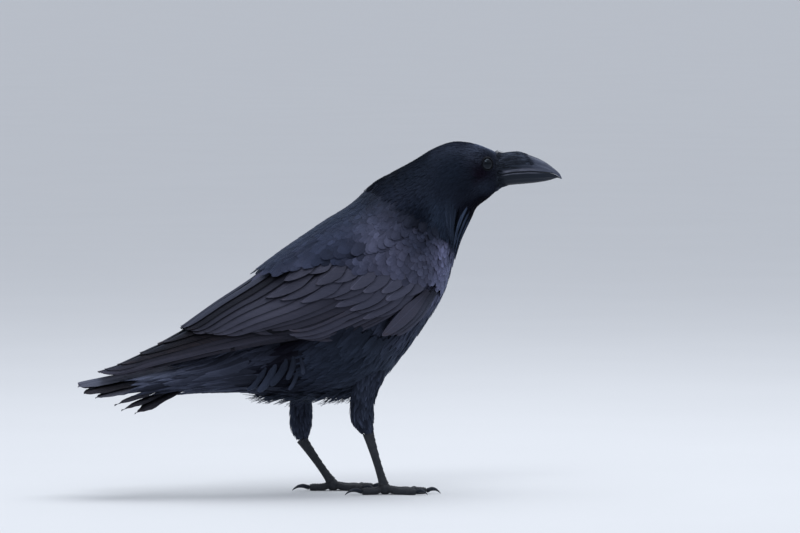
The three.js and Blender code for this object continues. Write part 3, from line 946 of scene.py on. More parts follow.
@dataclass
class Coat:
    """The feathers of one part of the bird, joined in one mesh."""

    name: str
    slot: str
    rng: Rng
    nodes: Sequence[str] = ()
    lays: list[Lay] = field(default_factory=list)
    crease: float = 70.0
    patch_size: float = 0.003  # share of the baked picture that each feather gets
    margin: float = 0.004

    def lay(
        self, surface: Surface, pattern: Pattern, outline: Outline, root: Array, tip: Array, **more: Any
    ) -> None:
        """Adds feathers.

        Args:
            surface: what they lie on.
            pattern: the feather that is laid.
            outline: the outline of its vane.
            root: the places of their roots.
            tip: the places of their tips.
            more: the other measures of Lay.
        """
        self.lays.append(Lay(surface, pattern, outline, root, tip, **more))

    def build(self, material: Material) -> None:
        """Joins the laid feathers and puts them in the scene.

        Args:
            material: their material.
        """
        roots = np.concatenate([lay.root for lay in self.lays])
        span = roots.min(0), roots.max(0)
        base, parts = 0, []
        for lay in self.lays:
            parts.append(self._part(lay, base, span))
            base += lay.count * len(lay.pattern.ring)
        points, corners, sizes, tints, marks, vanes, patches = map(np.concatenate, zip(*parts))
        mesh = self._mesh(points, corners, sizes)
        colour_points(mesh, "Tint", tints)
        colour_points(mesh, "Marks", marks)
        unwrap(mesh, "OFBake", patches)
        unwrap(mesh, "Vane", vanes)
        show(self.name, mesh, material, self.nodes)

    def _part(self, lay: Lay, base: int, span: tuple[Array, Array]) -> tuple[Array, ...]:
        """What one lay adds to the mesh.

        Args:
            lay: the feathers.
            base: how many points come before theirs.
            span: the least and the greatest place of all the coat's roots.

        Returns:
            Points, corners and sizes of the faces, tints, marks, and the two UV maps.
        """
        pattern, n = lay.pattern, lay.count
        laid, on_vane = lay.points(self.rng)
        verts = laid.shape[1]
        order = pattern.order(laid[0])
        index = pattern.corners[order]
        corners = index[None, :] + np.arange(n)[:, None] * verts + base
        chance = np.repeat(self.rng.uniform(0, 1, n), verts)
        wear = np.repeat(np.broadcast_to(lay.wear, (n,)), verts)
        s = np.tile(pattern.places[pattern.ring], n)
        marks = np.stack([s, lay.bared(on_vane[..., 0]).ravel(), chance, wear], -1)
        low, high = span
        centre = self.margin + (1 - 2 * self.margin) * (lay.root - low) / (high - low + TINY)
        patch = centre[:, None, :] + (pattern.patch[order] - 0.5) * self.patch_size
        return (
            placed(laid.reshape(-1, 3)),
            corners.ravel(),
            np.tile(pattern.sizes, n),
            np.repeat(lay.tint, verts, axis=0),
            marks,
            on_vane[:, index].reshape(-1, 2),
            patch.reshape(-1, 2),
        )

    def _mesh(self, points: Array, corners: Array, sizes: Array) -> Mesh:
        """The joined mesh, smooth but for the edges of the vanes.

        Args:
            points: its points.
            corners: the points of its faces, face after face.
            sizes: how many corners each face has.

        Returns:
            The mesh.
        """
        mesh = bpy.data.meshes.new(self.name)
        mesh.vertices.add(len(points))
        mesh.vertices.foreach_set("co", points.astype(np.float32).ravel())
        mesh.loops.add(len(corners))
        mesh.loops.foreach_set("vertex_index", corners.astype(np.int32))
        mesh.polygons.add(len(sizes))
        starts = np.concatenate([[0], np.cumsum(sizes)[:-1]])
        mesh.polygons.foreach_set("loop_start", starts.astype(np.int32))
        mesh.polygons.foreach_set("use_smooth", np.ones(len(sizes), bool))
        mesh.update(calc_edges=True)
        mesh.validate()
        mesh.set_sharp_from_angle(angle=math.radians(self.crease))
        return mesh


# ---- shader nodes


class Amount:
    """A socket that takes part in sums; each sum adds its Math node."""

    def __init__(self, graph: "Graph", socket: bpy.types.NodeSocket) -> None:
        """Wraps an output socket."""
        self.graph, self.socket = graph, socket

    def _sum(self, operation: str, *terms: "Amount | float") -> "Amount":
        """The Math node of an operation on the terms."""
        return self.graph.add("ShaderNodeMath", {"operation": operation}, dict(enumerate(terms)))

    def __add__(self, other: "Amount | float") -> "Amount":
        """The sum."""
        return self._sum("ADD", self, other)

    def __sub__(self, other: "Amount | float") -> "Amount":
        """The difference."""
        return self._sum("SUBTRACT", self, other)

    def __rsub__(self, other: "Amount | float") -> "Amount":
        """The difference, from a plain number."""
        return self._sum("SUBTRACT", other, self)

    def __mul__(self, other: "Amount | float") -> "Amount":
        """The product."""
        return self._sum("MULTIPLY", self, other)

    def __abs__(self) -> "Amount":
        """The size without its sign."""
        return self._sum("ABSOLUTE", self)

    __radd__ = __add__
    __rmul__ = __mul__

    def wave(self) -> "Amount":
        """The sine."""
        return self._sum("SINE", self)

    def rise(self, low: float, high: float) -> "Amount":
        """A smooth rise from 0 at low to 1 at high."""
        settings = {"interpolation_type": "SMOOTHSTEP"}
        return self.graph.add("ShaderNodeMapRange", settings, {0: self, 1: low, 2: high, 3: 0.0, 4: 1.0})


class Graph:
    """A node tree, whose nodes all come from one method."""

    def __init__(self, tree: bpy.types.NodeTree) -> None:
        """Takes the tree."""
        self.tree = tree

    def add(self, kind: str, settings: dict | None, inputs: dict | None, out: int | str = 0) -> Amount:
        """Adds a node.

        Args:
            kind: the node's type.
            settings: its properties, set before its sockets; a ramp's stops are given as "stops".
            inputs: values or links of its sockets, by name or number.
            out: the output that is wanted.

        Returns:
            That output.
        """
        node = self.tree.nodes.new(kind)
        for key, value in (settings or {}).items():
            if key == "stops":
                ramp = node.color_ramp
                for k, (place, colour) in enumerate(value):
                    stop = ramp.elements[k] if k < 2 else ramp.elements.new(place)
                    stop.position, stop.color = place, (*colour, 1.0)
            else:
                setattr(node, key, value)
        for key, value in (inputs or {}).items():
            if isinstance(value, Amount):
                self.link(value, node.inputs[key])
            else:
                node.inputs[key].default_value = value
        return Amount(self, node.outputs[out])

    def read(self, amount: Amount, out: int | str) -> Amount:
        """Another output of the node that an amount comes from."""
        return Amount(self, amount.socket.node.outputs[out])

    def link(self, amount: Amount, socket: bpy.types.NodeSocket) -> None:
        """Links an amount to a socket."""
        self.tree.links.new(amount.socket, socket)


class Shader(Graph):
    """The node tree of one material, with a Principled surface."""

    def __init__(self, name: str, **constants: float | tuple) -> None:
        """Starts a material.

        Args:
            name: its name.
            constants: values of the surface's own sockets.
        """
        self.material = bpy.data.materials.new(name)
        self.material.use_nodes = True
        super().__init__(self.material.node_tree)
        self.surface = self.tree.nodes["Principled BSDF"]
        for key, value in constants.items():
            socket = self.surface.inputs[key.replace("_", " ")]
            socket.default_value = (*value, 1.0) if isinstance(value, tuple) else value

    def feed(self, socket: str, amount: Amount) -> None:
        """Links an amount to a socket of the surface."""
        self.link(amount, self.surface.inputs[socket])

    def place(self) -> Amount:
        """The place on the piece, in metres."""
        return self.add("ShaderNodeTexCoord", None, None, "Object")

    def colours(self, name: str) -> Amount:
        """A colour attribute of the piece."""
        return self.add("ShaderNodeAttribute", {"attribute_name": name}, None, "Color")

    def mark(self) -> Amount:
        """The first of the piece's marks; the others are Green and Blue of the same node."""
        return self.add("ShaderNodeSeparateColor", None, {0: self.colours("Marks")}, "Red")

    def noise(self, place: Amount, scale: float, detail: float = 2.0, roughness: float = 0.5) -> Amount:
        """A cloudy pattern from 0 to 1."""
        values = {"Vector": place, "Scale": scale, "Detail": detail, "Roughness": roughness}
        return self.add("ShaderNodeTexNoise", None, values)

    def cells(self, place: Amount, scale: float, feature: str = "F1") -> Amount:
        """The distance in a pattern of cells."""
        return self.add("ShaderNodeTexVoronoi", {"feature": feature}, {"Vector": place, "Scale": scale})

    def scaled(self, colour: Amount, shade: Amount) -> Amount:
        """A colour made lighter or darker."""
        return self.add("ShaderNodeVectorMath", {"operation": "SCALE"}, {0: colour, "Scale": shade})

    def blend(self, share: Amount | float, first: Amount | Colour, second: Amount | Colour) -> Amount:
        """Two colours mixed by a share."""
        colours = [c if isinstance(c, Amount) else (*c, 1.0) for c in (first, second)]
        return self.add("ShaderNodeMix", {"data_type": "RGBA"}, {0: share, 6: colours[0], 7: colours[1]}, 2)

    def bump(self, height: Amount, distance: float) -> None:
        """Roughens the surface by a height, in metres for a height of 1."""
        self.feed("Normal", self.add("ShaderNodeBump", None, {"Height": height, "Distance": distance}))


@dataclass(frozen=True)
class PlumageFinish:
    """Feathers: dark glossy vanes with barbs, a shaft with a painted highlight, worn edges, and painted shade
    where they are covered.
    """

    name: str
    gloss: Colour = (0.7, 0.8, 1.0)
    metallic: float = 0.6
    specular: float = 0.15
    roughness: float = 0.5
    barb_pitch: float = 0.42
    barb_depth: float = 0.00005
    slant: float = 1.3
    edge_light: float = 0.25
    root_shade: tuple[float, float, float] = (0.4, 0.3, 0.85)  # how dark, and from where to where
    side_shade: float = 0.6
    side_width: float = 5.0  # millimetres
    # how much lighter the shaft is painted: a painted highlight along it
    shaft_light: float = 0.0
    brown: Colour = (0.045, 0.030, 0.028)

    def material(self) -> Material:
        """Makes the material.

        Returns:
            The material.
        """
        sh = Shader(
            self.name, Metallic=self.metallic, Specular_IOR_Level=self.specular, Specular_Tint=self.gloss
        )
        tint, marks = sh.colours("Tint"), sh.colours("Marks")
        wear = sh.read(marks, "Alpha")
        split = sh.add("ShaderNodeSeparateColor", None, {0: marks}, "Red")
        bared, chance = sh.read(split, "Green"), sh.read(split, "Blue")
        on_vane = sh.add("ShaderNodeUVMap", {"uv_map": "Vane"}, None, "UV")
        across = sh.add("ShaderNodeSeparateXYZ", None, {0: on_vane}, "X")
        barb = sh.read(across, "Y") + abs(across) * self.slant
        lines = (barb * (2 * math.pi / self.barb_pitch)).wave()
        place = sh.add("ShaderNodeCombineXYZ", None, {0: barb, 1: chance * 37.0, 2: across * 0.08})
        streaks = sh.noise(place, 0.9, 3.0, 0.6)
        fine = sh.noise(place, 4.5)
        rim = split.rise(0.86, 1.0)
        dark, first, last = self.root_shade
        width = self.side_width / BARED_SPAN
        # painted shade on the part of each vane that lies under the next feather, lifting past that feather's
        # edge
        side = bared.rise(0.5, 0.5 + width) * 0.6 + bared.rise(0.5, 0.5 + width * 0.2) * 0.4
        # painted shade towards the root, where the feathers above cover it
        painted_cover_shade = 1.0 - dark + split.rise(first, last) * dark
        painted_cover_shade = painted_cover_shade * (1.0 - self.side_shade + side * self.side_shade)
        # painted highlight along the shaft
        shaft = 1.0 - abs(across).rise(0.12, 0.4)
        shade = (0.55 + streaks * 0.7 + fine * 0.2 + rim * self.edge_light + shaft * self.shaft_light) * painted_cover_shade
        worn = wear * (0.35 + rim * 0.65) * streaks.rise(0.3, 0.7) * painted_cover_shade
        sh.feed("Base Color", sh.blend(worn, sh.scaled(tint, shade), self.brown))
        sh.feed("Roughness", self.roughness - 0.08 + streaks * 0.2 - chance * 0.06)
        sh.bump(lines * 0.4 + streaks * 1.4 + fine * 0.8 + shaft * 1.5, self.barb_depth)
        return sh.material


@dataclass(frozen=True)
class SkinFinish:
    """The dark skin and down under the feathers."""

    name: str = "skin and down"

    def material(self) -> Material:
        """Makes the material.

        Returns:
            The material.
        """
        sh = Shader(self.name, Specular_IOR_Level=0.15, Specular_Tint=(0.7, 0.8, 1.0))
        place = sh.place()
        down = sh.noise(place, 900.0, 4.0)
        sh.feed("Base Color", sh.scaled(sh.colours("Tint"), 0.35 + down * 0.5))
        sh.feed("Roughness", 0.6 + down * 0.3)
        sh.bump(down + sh.cells(place, 260.0) * 0.6, 0.0004)
        return sh.material


@dataclass(frozen=True)
class HornFinish:
    """Bill and claws: black horn, satin at the root and polished at the tip, with a sheen painted towards the
    tip, and on the bill a painted highlight above the cutting edge and a painted shadow in the mouth's gap.
    """

    name: str
    colour: Colour = (0.006, 0.007, 0.010)
    worn: Colour = (0.020, 0.021, 0.028)
    roughness: float = 0.36
    polish: float = 0.3
    grain: float = 900.0
    band: Span = (1.0, 3.6)  # millimetres from the cutting edge, where a pale highlight is painted on the horn
    band_colour: Colour = (0.110, 0.115, 0.150)
    painted_gap_shadow_colour: Colour = (0.001, 0.001, 0.002)

    def material(self) -> Material:
        """Makes the material.

        Returns:
            The material.
        """
        sh = Shader(self.name, Specular_IOR_Level=0.3, Specular_Tint=(0.64, 0.77, 1.0))
        along, place = sh.mark(), sh.place()
        apart = abs(sh.read(along, "Green") - 0.5) * EDGE_SPAN
        drawn = sh.add("ShaderNodeMapping", None, {"Vector": place, "Scale": (0.12, 1.0, 1.0)})
        grain = sh.noise(drawn, self.grain, 4.0)
        cloud = sh.noise(place, 120.0, 3.0)
        chips = sh.cells(drawn, self.grain * 0.5)
        # the worn colour covers random scuffs, and a sheen painted lighter towards the tip
        scuff_and_tip_sheen = (grain.rise(0.5, 0.72) * 0.6 + 0.3) * cloud.rise(0.3, 0.65) + along.rise(0.3, 0.75)
        horn = sh.blend(scuff_and_tip_sheen * 0.6, self.colour, self.worn)
        # painted highlight: a pale band painted just above the cutting edge, where light catches the horn's
        # edge
        near, far = self.band
        band = apart.rise(near - 0.3, near + 0.4) * (1.0 - apart.rise(far - 0.5, far + 0.6))
        band = band * along.rise(0.02, 0.12) * (1.0 - along.rise(0.5, 0.78))
        band = band * (0.4 + grain.rise(0.3, 0.7) * 0.6)
        # painted shadow: a near-black line painted in the gap along the cutting edge
        gap = (1.0 - apart.rise(0.35, 0.9)) * (1.0 - along.rise(0.8, 0.95))
        sh.feed("Base Color", sh.blend(gap, sh.blend(band, horn, self.band_colour), self.painted_gap_shadow_colour))
        dull = (1.0 - along.rise(0.0, 0.3)) * 0.25
        sh.feed("Roughness", self.roughness + dull + grain * 0.16 + cloud * 0.12 - along * self.polish * 0.4)
        sh.feed("Coat Weight", along.rise(0.45, 0.95) * self.polish)
        sh.bump(grain * 0.8 + chips * 0.4 + cloud * 1.8, 0.00010)
        return sh.material


@dataclass(frozen=True)
class ScaleFinish:
    """The bare, scaled skin of tarsi and toes."""

    name: str = "leg scales"
    colour: Colour = (0.009, 0.010, 0.013)
    dusty: Colour = (0.030, 0.030, 0.034)

    def material(self) -> Material:
        """Makes the material.

        Returns:
            The material.
        """
        sh = Shader(self.name, Specular_IOR_Level=0.45, Specular_Tint=(0.8, 0.88, 1.0))
        place = sh.place()
        seams = 1.0 - sh.cells(place, 650.0, "DISTANCE_TO_EDGE").rise(0.0, 0.09)
        cloud = sh.noise(place, 240.0, 4.0)
        sh.feed("Base Color", sh.blend(cloud.rise(0.35, 0.75) * 0.7, self.colour, self.dusty))
        sh.feed("Roughness", 0.42 + cloud * 0.25 + seams * 0.15)
        sh.bump(cloud * 0.6 - seams * 0.8, 0.00022)
        return sh.material


@dataclass(frozen=True)
class EyeFinish:
    """A wet, very dark eye with a black pupil."""

    name: str = "wet eye"
    iris: tuple[Colour, Colour] = ((0.004, 0.004, 0.005), (0.009, 0.009, 0.012))
    pupil: Colour = (0.001, 0.001, 0.001)
    surround: Colour = (0.002, 0.002, 0.003)

    def material(self) -> Material:
        """Makes the material.

        Returns:
            The material.
        """
        sh = Shader(self.name, Roughness=0.05, Specular_IOR_Level=0.26, Specular_Tint=(0.62, 0.78, 1.0))
        away = sh.mark()
        iris = sh.blend(sh.noise(sh.place(), 1500.0, 3.0).rise(0.3, 0.7), *self.iris)
        inner = sh.blend(away.rise(0.17, 0.19), self.pupil, iris)
        sh.feed("Base Color", sh.blend(away.rise(0.33, 0.37), inner, self.surround))
        return sh.material


@dataclass(frozen=True)
class FloorFinish:
    """A plain pale floor."""

    name: str = "pale floor"
    colour: Colour = (0.62, 0.63, 0.65)
    lighter: float = 1.04

    def material(self) -> Material:
        """Makes the material.

        Returns:
            The material.
        """
        sh = Shader(self.name, Roughness=0.8, Specular_IOR_Level=0.2)
        pale = tuple(c * self.lighter for c in self.colour)
        sh.feed("Base Color", sh.blend(sh.noise(sh.place(), 3.0), self.colour, pale))
        return sh.material


HEAD_FINISH = PlumageFinish(
    "head plumage", gloss=(0.25, 0.30, 0.42), metallic=0.5, specular=0.04, root_shade=(0.25, 0.2, 0.8)
)
BODY_FINISH = PlumageFinish("body plumage", metallic=0.5, specular=0.06, root_shade=(0.35, 0.3, 0.85))
COVERT_FINISH = PlumageFinish(
    "covert plumage", metallic=0.7, specular=0.12, roughness=0.46, root_shade=(0.25, 0.3, 0.85)
)
FLIGHT_FINISH = PlumageFinish(
    "flight plumage", metallic=0.6, specular=0.12, root_shade=(0.6, 0.0, 0.4), side_shade=0.8, shaft_light=0.5
)


# ---- body plumage

@dataclass(frozen=True)
class Strand:
    """A lock of the throat's hackles, from (place, degrees) to (place, degrees), on both sides."""

    root: Span
    tip: Span
    spread: float
    tone: float
    lift: float
    count: int


HACKLES = (
    Strand((4.1, 98), (5.95, 131), 11.0, 1.35, 1.3, 130),
    Strand((3.8, 113), (5.9, 138), 2.6, 0.15, 0.7, 40),
    Strand((3.2, 126), (5.9, 139), 3.4, 2.1, 1.8, 50),
    Strand((3.0, 134), (5.8, 144), 2.2, 0.2, 0.8, 30),
    Strand((3.1, 139), (5.9, 148), 2.6, 1.9, 1.5, 40),
    Strand((2.8, 147), (5.8, 154), 2.6, 0.3, 0.8, 30),
    Strand((3.0, 156), (6.0, 160), 3.0, 1.5, 1.2, 40),
    Strand((2.9, 168), (6.1, 170), 6.0, 0.9, 0.9, 60),
)
# Loose feathers of the flank: root and tip, as (place, degrees), and half width.
FLANK = (
    ((13.75, 95), (14.72, 128), 3.6), ((13.53, 94), (14.42, 129), 5.0), ((13.25, 92), (14.0, 120), 4.6),
    ((13.08, 92), (13.6, 114), 3.4), ((13.28, 106), (13.72, 130), 2.6), ((12.98, 95), (13.23, 110), 2.4),
)


@dataclass
class Plumage:
    """The feathers of head, neck, back, breast and belly, and the skin beneath them."""

    body: Ladder = field(default_factory=lambda: Ladder((*ENVELOPE[:13], *RUMP)))
    whole: Ladder = field(default_factory=lambda: Ladder(ENVELOPE))
    rump_end: float = 14.6
    voxel: float = 0.0022  # metres
    depth: Graded = Graded(1.3, 6.0, 1.0, 8.0)
    wing_hollow: float = 5.5
    shank_share: float = 0.72  # how thick a shank is inside its feathers
    head_rows: Rows = Rows(0.03, 4.3, Graded(1.6, 2.6, 0, 4), Graded(1.15, 1.75, 0, 4), 0.35)
    neck_rows: Rows = Rows(3.7, 7.4, Graded(2.7, 4.2, 4, 7), Graded(1.8, 2.5, 4, 7), 0.35)
    back_rows: Rows = Rows(6.0, 11.7, Graded(5.0, 8.2, 6, 11), Graded(4.8, 7.4, 6, 10), 0.18)
    breast_rows: Rows = Rows(5.7, 14.4, Graded(4.2, 6.2, 6, 12), Graded(3.2, 4.6, 6, 12), 0.32)
    hackle_tint: Colour = (0.019, 0.026, 0.043)
    fringe_count: int = 420
    fringe_tint: Colour = (0.032, 0.040, 0.062)
    flank_tint: Colour = (0.030, 0.037, 0.060)

    def coat_depth(self, u: Array, v: Array) -> Array:
        """How deep the skin lies under the plumage.

        Args:
            u: places along the body.
            v: degrees from the back.

        Returns:
            The depths.
        """
        sides = np.abs(np.mod(v + 180, 360) - 180)
        under_wing = eased(sides, 8, 24) * (1 - eased(sides, 138, 152)) * eased(u, 6.2, 7.2)
        return self.depth.at(u) + self.wing_hollow * under_wing

    def skin(self, shanks: Sequence[Limb]) -> None:
        """Puts one skin for head, neck, trunk and shanks in the scene.

        Args:
            shanks: the outer forms of the shanks.
        """

        def trunk(s: Array, t: Array) -> Array:
            """The body inside its coat, drawn to a point at both ends."""
            u, v = s * self.rump_end, t * 360
            _, _, normal = self.body.slopes(u, v)
            inside = self.body.at(u, v) - normal * self.coat_depth(u, v)[:, None]
            close = 1 - 0.35 * eased(s, 0.985, 1.0) - 0.12 * (1 - eased(s, 0.0, 0.02))
            return mixed(self.body.core(u, -90), inside, close[:, None])

        forms = [bent_sheet(trunk, 110, 72)]
        for limb in shanks:
            forms.append(bent_sheet(lambda s, t, limb=limb: self._inside(limb, s, t), 24, 24))
        source = put("skin_source", smooth_mesh(joined(forms), "skin"))
        remesh = source.modifiers.new("one skin", "REMESH")
        remesh.mode, remesh.voxel_size = "VOXEL", self.voxel
        graph = bpy.context.evaluated_depsgraph_get()
        whole = bpy.data.meshes.new_from_object(source.evaluated_get(graph))
        bpy.data.objects.remove(source)
        whole.name = "skin"
        points = np.zeros(len(whole.vertices) * 3)
        whole.vertices.foreach_get("co", points)
        colour_points(whole, "Tint", plumage_tint(points.reshape(-1, 3) / MM - SHIFT))
        whole.polygons.foreach_set("use_smooth", np.ones(len(whole.polygons), bool))
        nodes = ["head", "neck", "trunk", "leg_right_shank", "leg_left_shank"]
        show("skin", whole, SkinFinish().material(), nodes)

    def _inside(self, limb: Limb, s: Array, t: Array) -> Array:
        """The form of a shank inside its feathers."""
        return mixed(limb.core(s), limb.at(s, t * 360), self.shank_share)

    def head(self, rng: Rng) -> Coat:
        """Short, close feathers from the bill to the nape, which part round the eyes.

        Args:
            rng: the random source.

        Returns:
            The coat.
        """
        coat = Coat("head_feathers", "head_plumage", rng)
        roots = self.head_rows.over(self.body, all_round, rng)
        along, across, _ = self.body.slopes(roots[:, 0], roots[:, 1])
        along, across = unit(along), unit(across)
        points = self.body.spots(roots)
        size = eased(roots[:, 0], 0, 4)
        heading = rng.normal(0, 0.10, len(roots))
        length = mixed(5.0, 11.0, size) * rng.uniform(0.85, 1.15, len(roots))
        keep = np.ones(len(roots), bool)
        for side in Side:
            apart = points - eye_centre(side)
            near = np.linalg.norm(apart, axis=-1)
            angle = np.arctan2((apart * across).sum(-1), (apart * along).sum(-1))
            share = np.clip((EYE_RADIUS + 0.6) ** 2 / near**2, 0, 1)
            heading += np.arctan2(-share * np.sin(2 * angle), 1 - share * np.cos(2 * angle)) * (near < 22)
            keep &= near > EYE_RADIUS + 0.2
            length = np.where(near < 14, np.minimum(length, 4.2), length)
        roots, heading, length, size = roots[keep], heading[keep], length[keep], size[keep]
        coat.lay(
            self.body, BRISTLE, Outline.POINTED, roots, aimed(self.body, roots, heading, length),
            half=mixed(0.9, 1.7, size) * rng.uniform(0.85, 1.15, len(roots)),
            tint=varied(plumage_tint(self.body.spots(roots)), rng, 0.1),
            low=-0.8, high=rng.uniform(-0.1, 0.25, len(roots)), camber=0.14, thickness=0.10,
        )
        return coat

    def neck(self, rng: Rng) -> Coat:
        """Close, slender feathers of the neck, and the throat's loose hackles over them.

        Args:
            rng: the random source.

        Returns:
            The coat.
        """
        coat = Coat("neck_feathers", "head_plumage", rng)
        roots = self.neck_rows.over(self.body, all_round, rng)
        size = eased(roots[:, 0], 3.7, 7)
        length = mixed(11, 17, size) * rng.uniform(0.85, 1.15, len(roots))
        last = between(NECK_EDGE, np.abs(roots[:, 1])) - length / self.body.stretch(roots)
        keep = roots[:, 0] < last + rng.normal(0, 0.03, len(roots))
        roots, size, length = roots[keep], size[keep], length[keep]
        n = len(roots)
        tip = aimed(self.body, roots, rng.normal(0, 0.09, n), length)
        coat.lay(
            self.body, BRISTLE, Outline.POINTED, roots, tip,
            half=mixed(1.6, 2.5, size) * rng.uniform(0.85, 1.15, n),
            tint=varied(plumage_tint(self.body.spots(roots - (0.3, 0))), rng, 0.1),
            low=-0.9, high=mixed(0.2, 1.0, size) + rng.uniform(-0.2, 0.2, n), camber=0.14, thickness=0.12,
        )
        self._hackles(coat)
        return coat

    def _hackles(self, coat: Coat) -> None:
        """Adds long pointed feathers that hang from the throat in strands, pale ones between dark ones.

        Args:
            coat: their coat.
        """
        rng = coat.rng
        for strand in HACKLES:
            count = strand.count * 2
            side = np.where(np.arange(count) % 2, 1.0, -1.0)
            along = rng.uniform(0, 0.45, count)
            stray = rng.normal(0, 0.45, count) * strand.spread
            first, last = np.array(strand.root), np.array(strand.tip)
            root = first + (last - first) * along[:, None] + np.stack([0 * stray, stray], -1)
            reach = np.clip(along + rng.uniform(0.5, 0.75, count), 0, 1.05)
            tip = first + (last - first) * reach[:, None] + np.stack([0 * stray, stray * 0.7], -1)
            root[:, 1] *= side
            tip[:, 1] *= side
            coat.lay(
                self.body, LOCK, Outline.LANCE, root, tip, half=rng.uniform(0.7, 1.5, count),
                tint=dyed(np.array(self.hackle_tint) * strand.tone, count, rng, 0.25),
                low=-0.5, high=strand.lift * rng.uniform(0.7, 1.1, count), camber=0.4, thickness=0.2,
                bow=rng.normal(0, 0.5, count),
            )

    def mantle(self, rng: Rng) -> Coat:
        """Rounded feathers of the back and the scapulars, down to the fold over each wing.

        Args:
            rng: the random source.

        Returns:
            The coat.
        """
        coat = Coat("back_feathers", "wing_coverts", rng, [f"wing_{side.label}_scapulars" for side in Side])

        def edges(a: float) -> Span:
            """The scapulars' lower edges."""
            edge = float(between(FOLD, a + 0.35)) - 2
            return -edge, edge

        roots = self.back_rows.over(self.whole, edges, rng)
        size = eased(roots[:, 0], 6, 11) * 0.6 + 0.4 * eased(np.abs(roots[:, 1]), 20, 70)
        length = mixed(13, 25, size) * rng.uniform(0.88, 1.15, len(roots))
        reach = roots[:, 0] + length / self.whole.stretch(roots)
        keep = reach < mixed(11.85, 12.35, eased(np.abs(roots[:, 1]), 10, 24))
        roots, size, length = roots[keep], size[keep], length[keep]
        n = len(roots)
        tip = aimed(self.whole, roots, rng.normal(0, 0.12, n), length)
        low_row = eased(np.abs(roots[:, 1]) + 9 - between(FOLD, roots[:, 0] + 0.35), 0, 8)
        low_row *= 1 - eased(roots[:, 0], 10.6, 11.4)
        coat.lay(
            self.whole, SHEATH, Outline.ROUND, roots, tip,
            half=mixed(4.6, 8.2, size) * rng.uniform(0.88, 1.15, n) * (1 + 0.15 * low_row),
            tint=varied(plumage_tint(self.whole.spots(roots)), rng, 0.14),
            low=-0.65, high=rng.uniform(0.0, 0.15, n) + 2.2 * low_row, camber=0.02, fray=0.22,
            wear=rng.uniform(0, 0.3, n), thickness=0.10,
        )
        return coat

    def breast(self, rng: Rng) -> Coat:
        """Soft feathers of the breast, flanks and belly.

        Args:
            rng: the random source.

        Returns:
            The coat.
        """
        coat = Coat("breast_feathers", "body_plumage", rng)

        def edges(a: float) -> Span:
            """The wing's lower edge on each side, round the belly."""
            edge = float(between(WING_FOOT, a + 0.3)) - 17
            return edge, 360 - edge

        roots = self.breast_rows.over(self.body, edges, rng)
        n = len(roots)
        size = eased(roots[:, 0], 6, 12.5)
        length = mixed(15, 27, size) * rng.uniform(0.85, 1.2, n)
        down = np.minimum(roots[:, 1], 360 - roots[:, 1])
        sunk, tip_sunk = (
            self.wing_hollow * eased(between(WING_FOOT, roots[:, 0] + behind) - down, 0, 11)
            for behind in (0, 0.6)
        )
        tip = aimed(self.body, roots, rng.normal(0, 0.14, n), length)
        roots[:, 1] = np.mod(roots[:, 1] + 180, 360) - 180
        tip[:, 1] = roots[:, 1] + np.mod(tip[:, 1] - roots[:, 1] + 180, 360) - 180
        coat.lay(
            self.body, SCALE, Outline.POINTED, roots, tip,
            half=mixed(2.7, 4.4, size) * rng.uniform(0.85, 1.15, n),
            tint=varied(plumage_tint(self.body.spots(roots)), rng, 0.14),
            low=-1.8 - sunk, high=rng.uniform(-0.1, 0.9, n) - np.maximum(sunk, tip_sunk),
            camber=0.12, fray=0.2, thickness=0.13,
        )
        self._fringe(coat)
        for side in Side:
            self._flank(coat, side)
        return coat

    def _fringe(self, coat: Coat) -> None:
        """Adds the ragged ends of the belly's feathers.

        Args:
            coat: their coat.
        """
        rng, n = coat.rng, self.fringe_count
        around = np.where(rng.random(n) < 0.5, rng.uniform(146, 180, n), rng.uniform(-180, -146, n))
        roots = np.stack([rng.uniform(11.7, 14.3, n), around], -1)
        tip = aimed(self.body, roots, rng.normal(0, 0.3, n), rng.uniform(14, 26, n))
        coat.lay(
            self.body, LOCK, Outline.LANCE, roots, tip, half=rng.uniform(0.9, 1.9, n),
            tint=dyed(self.fringe_tint, n, rng, 0.25),
            low=-0.5, high=rng.uniform(1, 11, n), camber=0.3, thickness=0.2, bow=rng.normal(0, 1.5, n),
        )

    def _flank(self, coat: Coat, side: Side) -> None:
        """Adds loose finger-like feathers of the flank, just behind the folded wing's foot.

        Args:
            coat: their coat.
            side: the side that they are on.
        """
        rng, n = coat.rng, len(FLANK)
        root, tip, half = (np.array(column) for column in zip(*FLANK))
        coat.lay(
            Ladder(self.body.rows, side), COVERT, Outline.BLUNT, root, tip, half=half,
            tint=dyed(self.flank_tint, n, rng, 0.15),
            low=-0.5, high=rng.uniform(4.0, 5.5, n), camber=0.4, thickness=0.2, bow=rng.normal(0, 0.8, n),
            fray=0.1,
        )


# ---- wings

@dataclass(frozen=True)
class FanOfFeathers:
    """Long feathers side by side: lines through their roots and tips, from the lowest up."""

    label: str
    count: int
    root: tuple
    tip: tuple
    half: float
    top: float
    outline: Outline
    thick: float = 0.22
    lead: float = 0.8
    tilt: float = 1.4
    brown: float = 0.5
    jitter: float = 0.04
    shade: float = 1.0
    tones_and_painted_light: tuple = (1.0, 1.0)  # lighter or darker, through the feathers: own tones, painted shadow on feathers in a hollow and a painted highlight on one that catches the sky
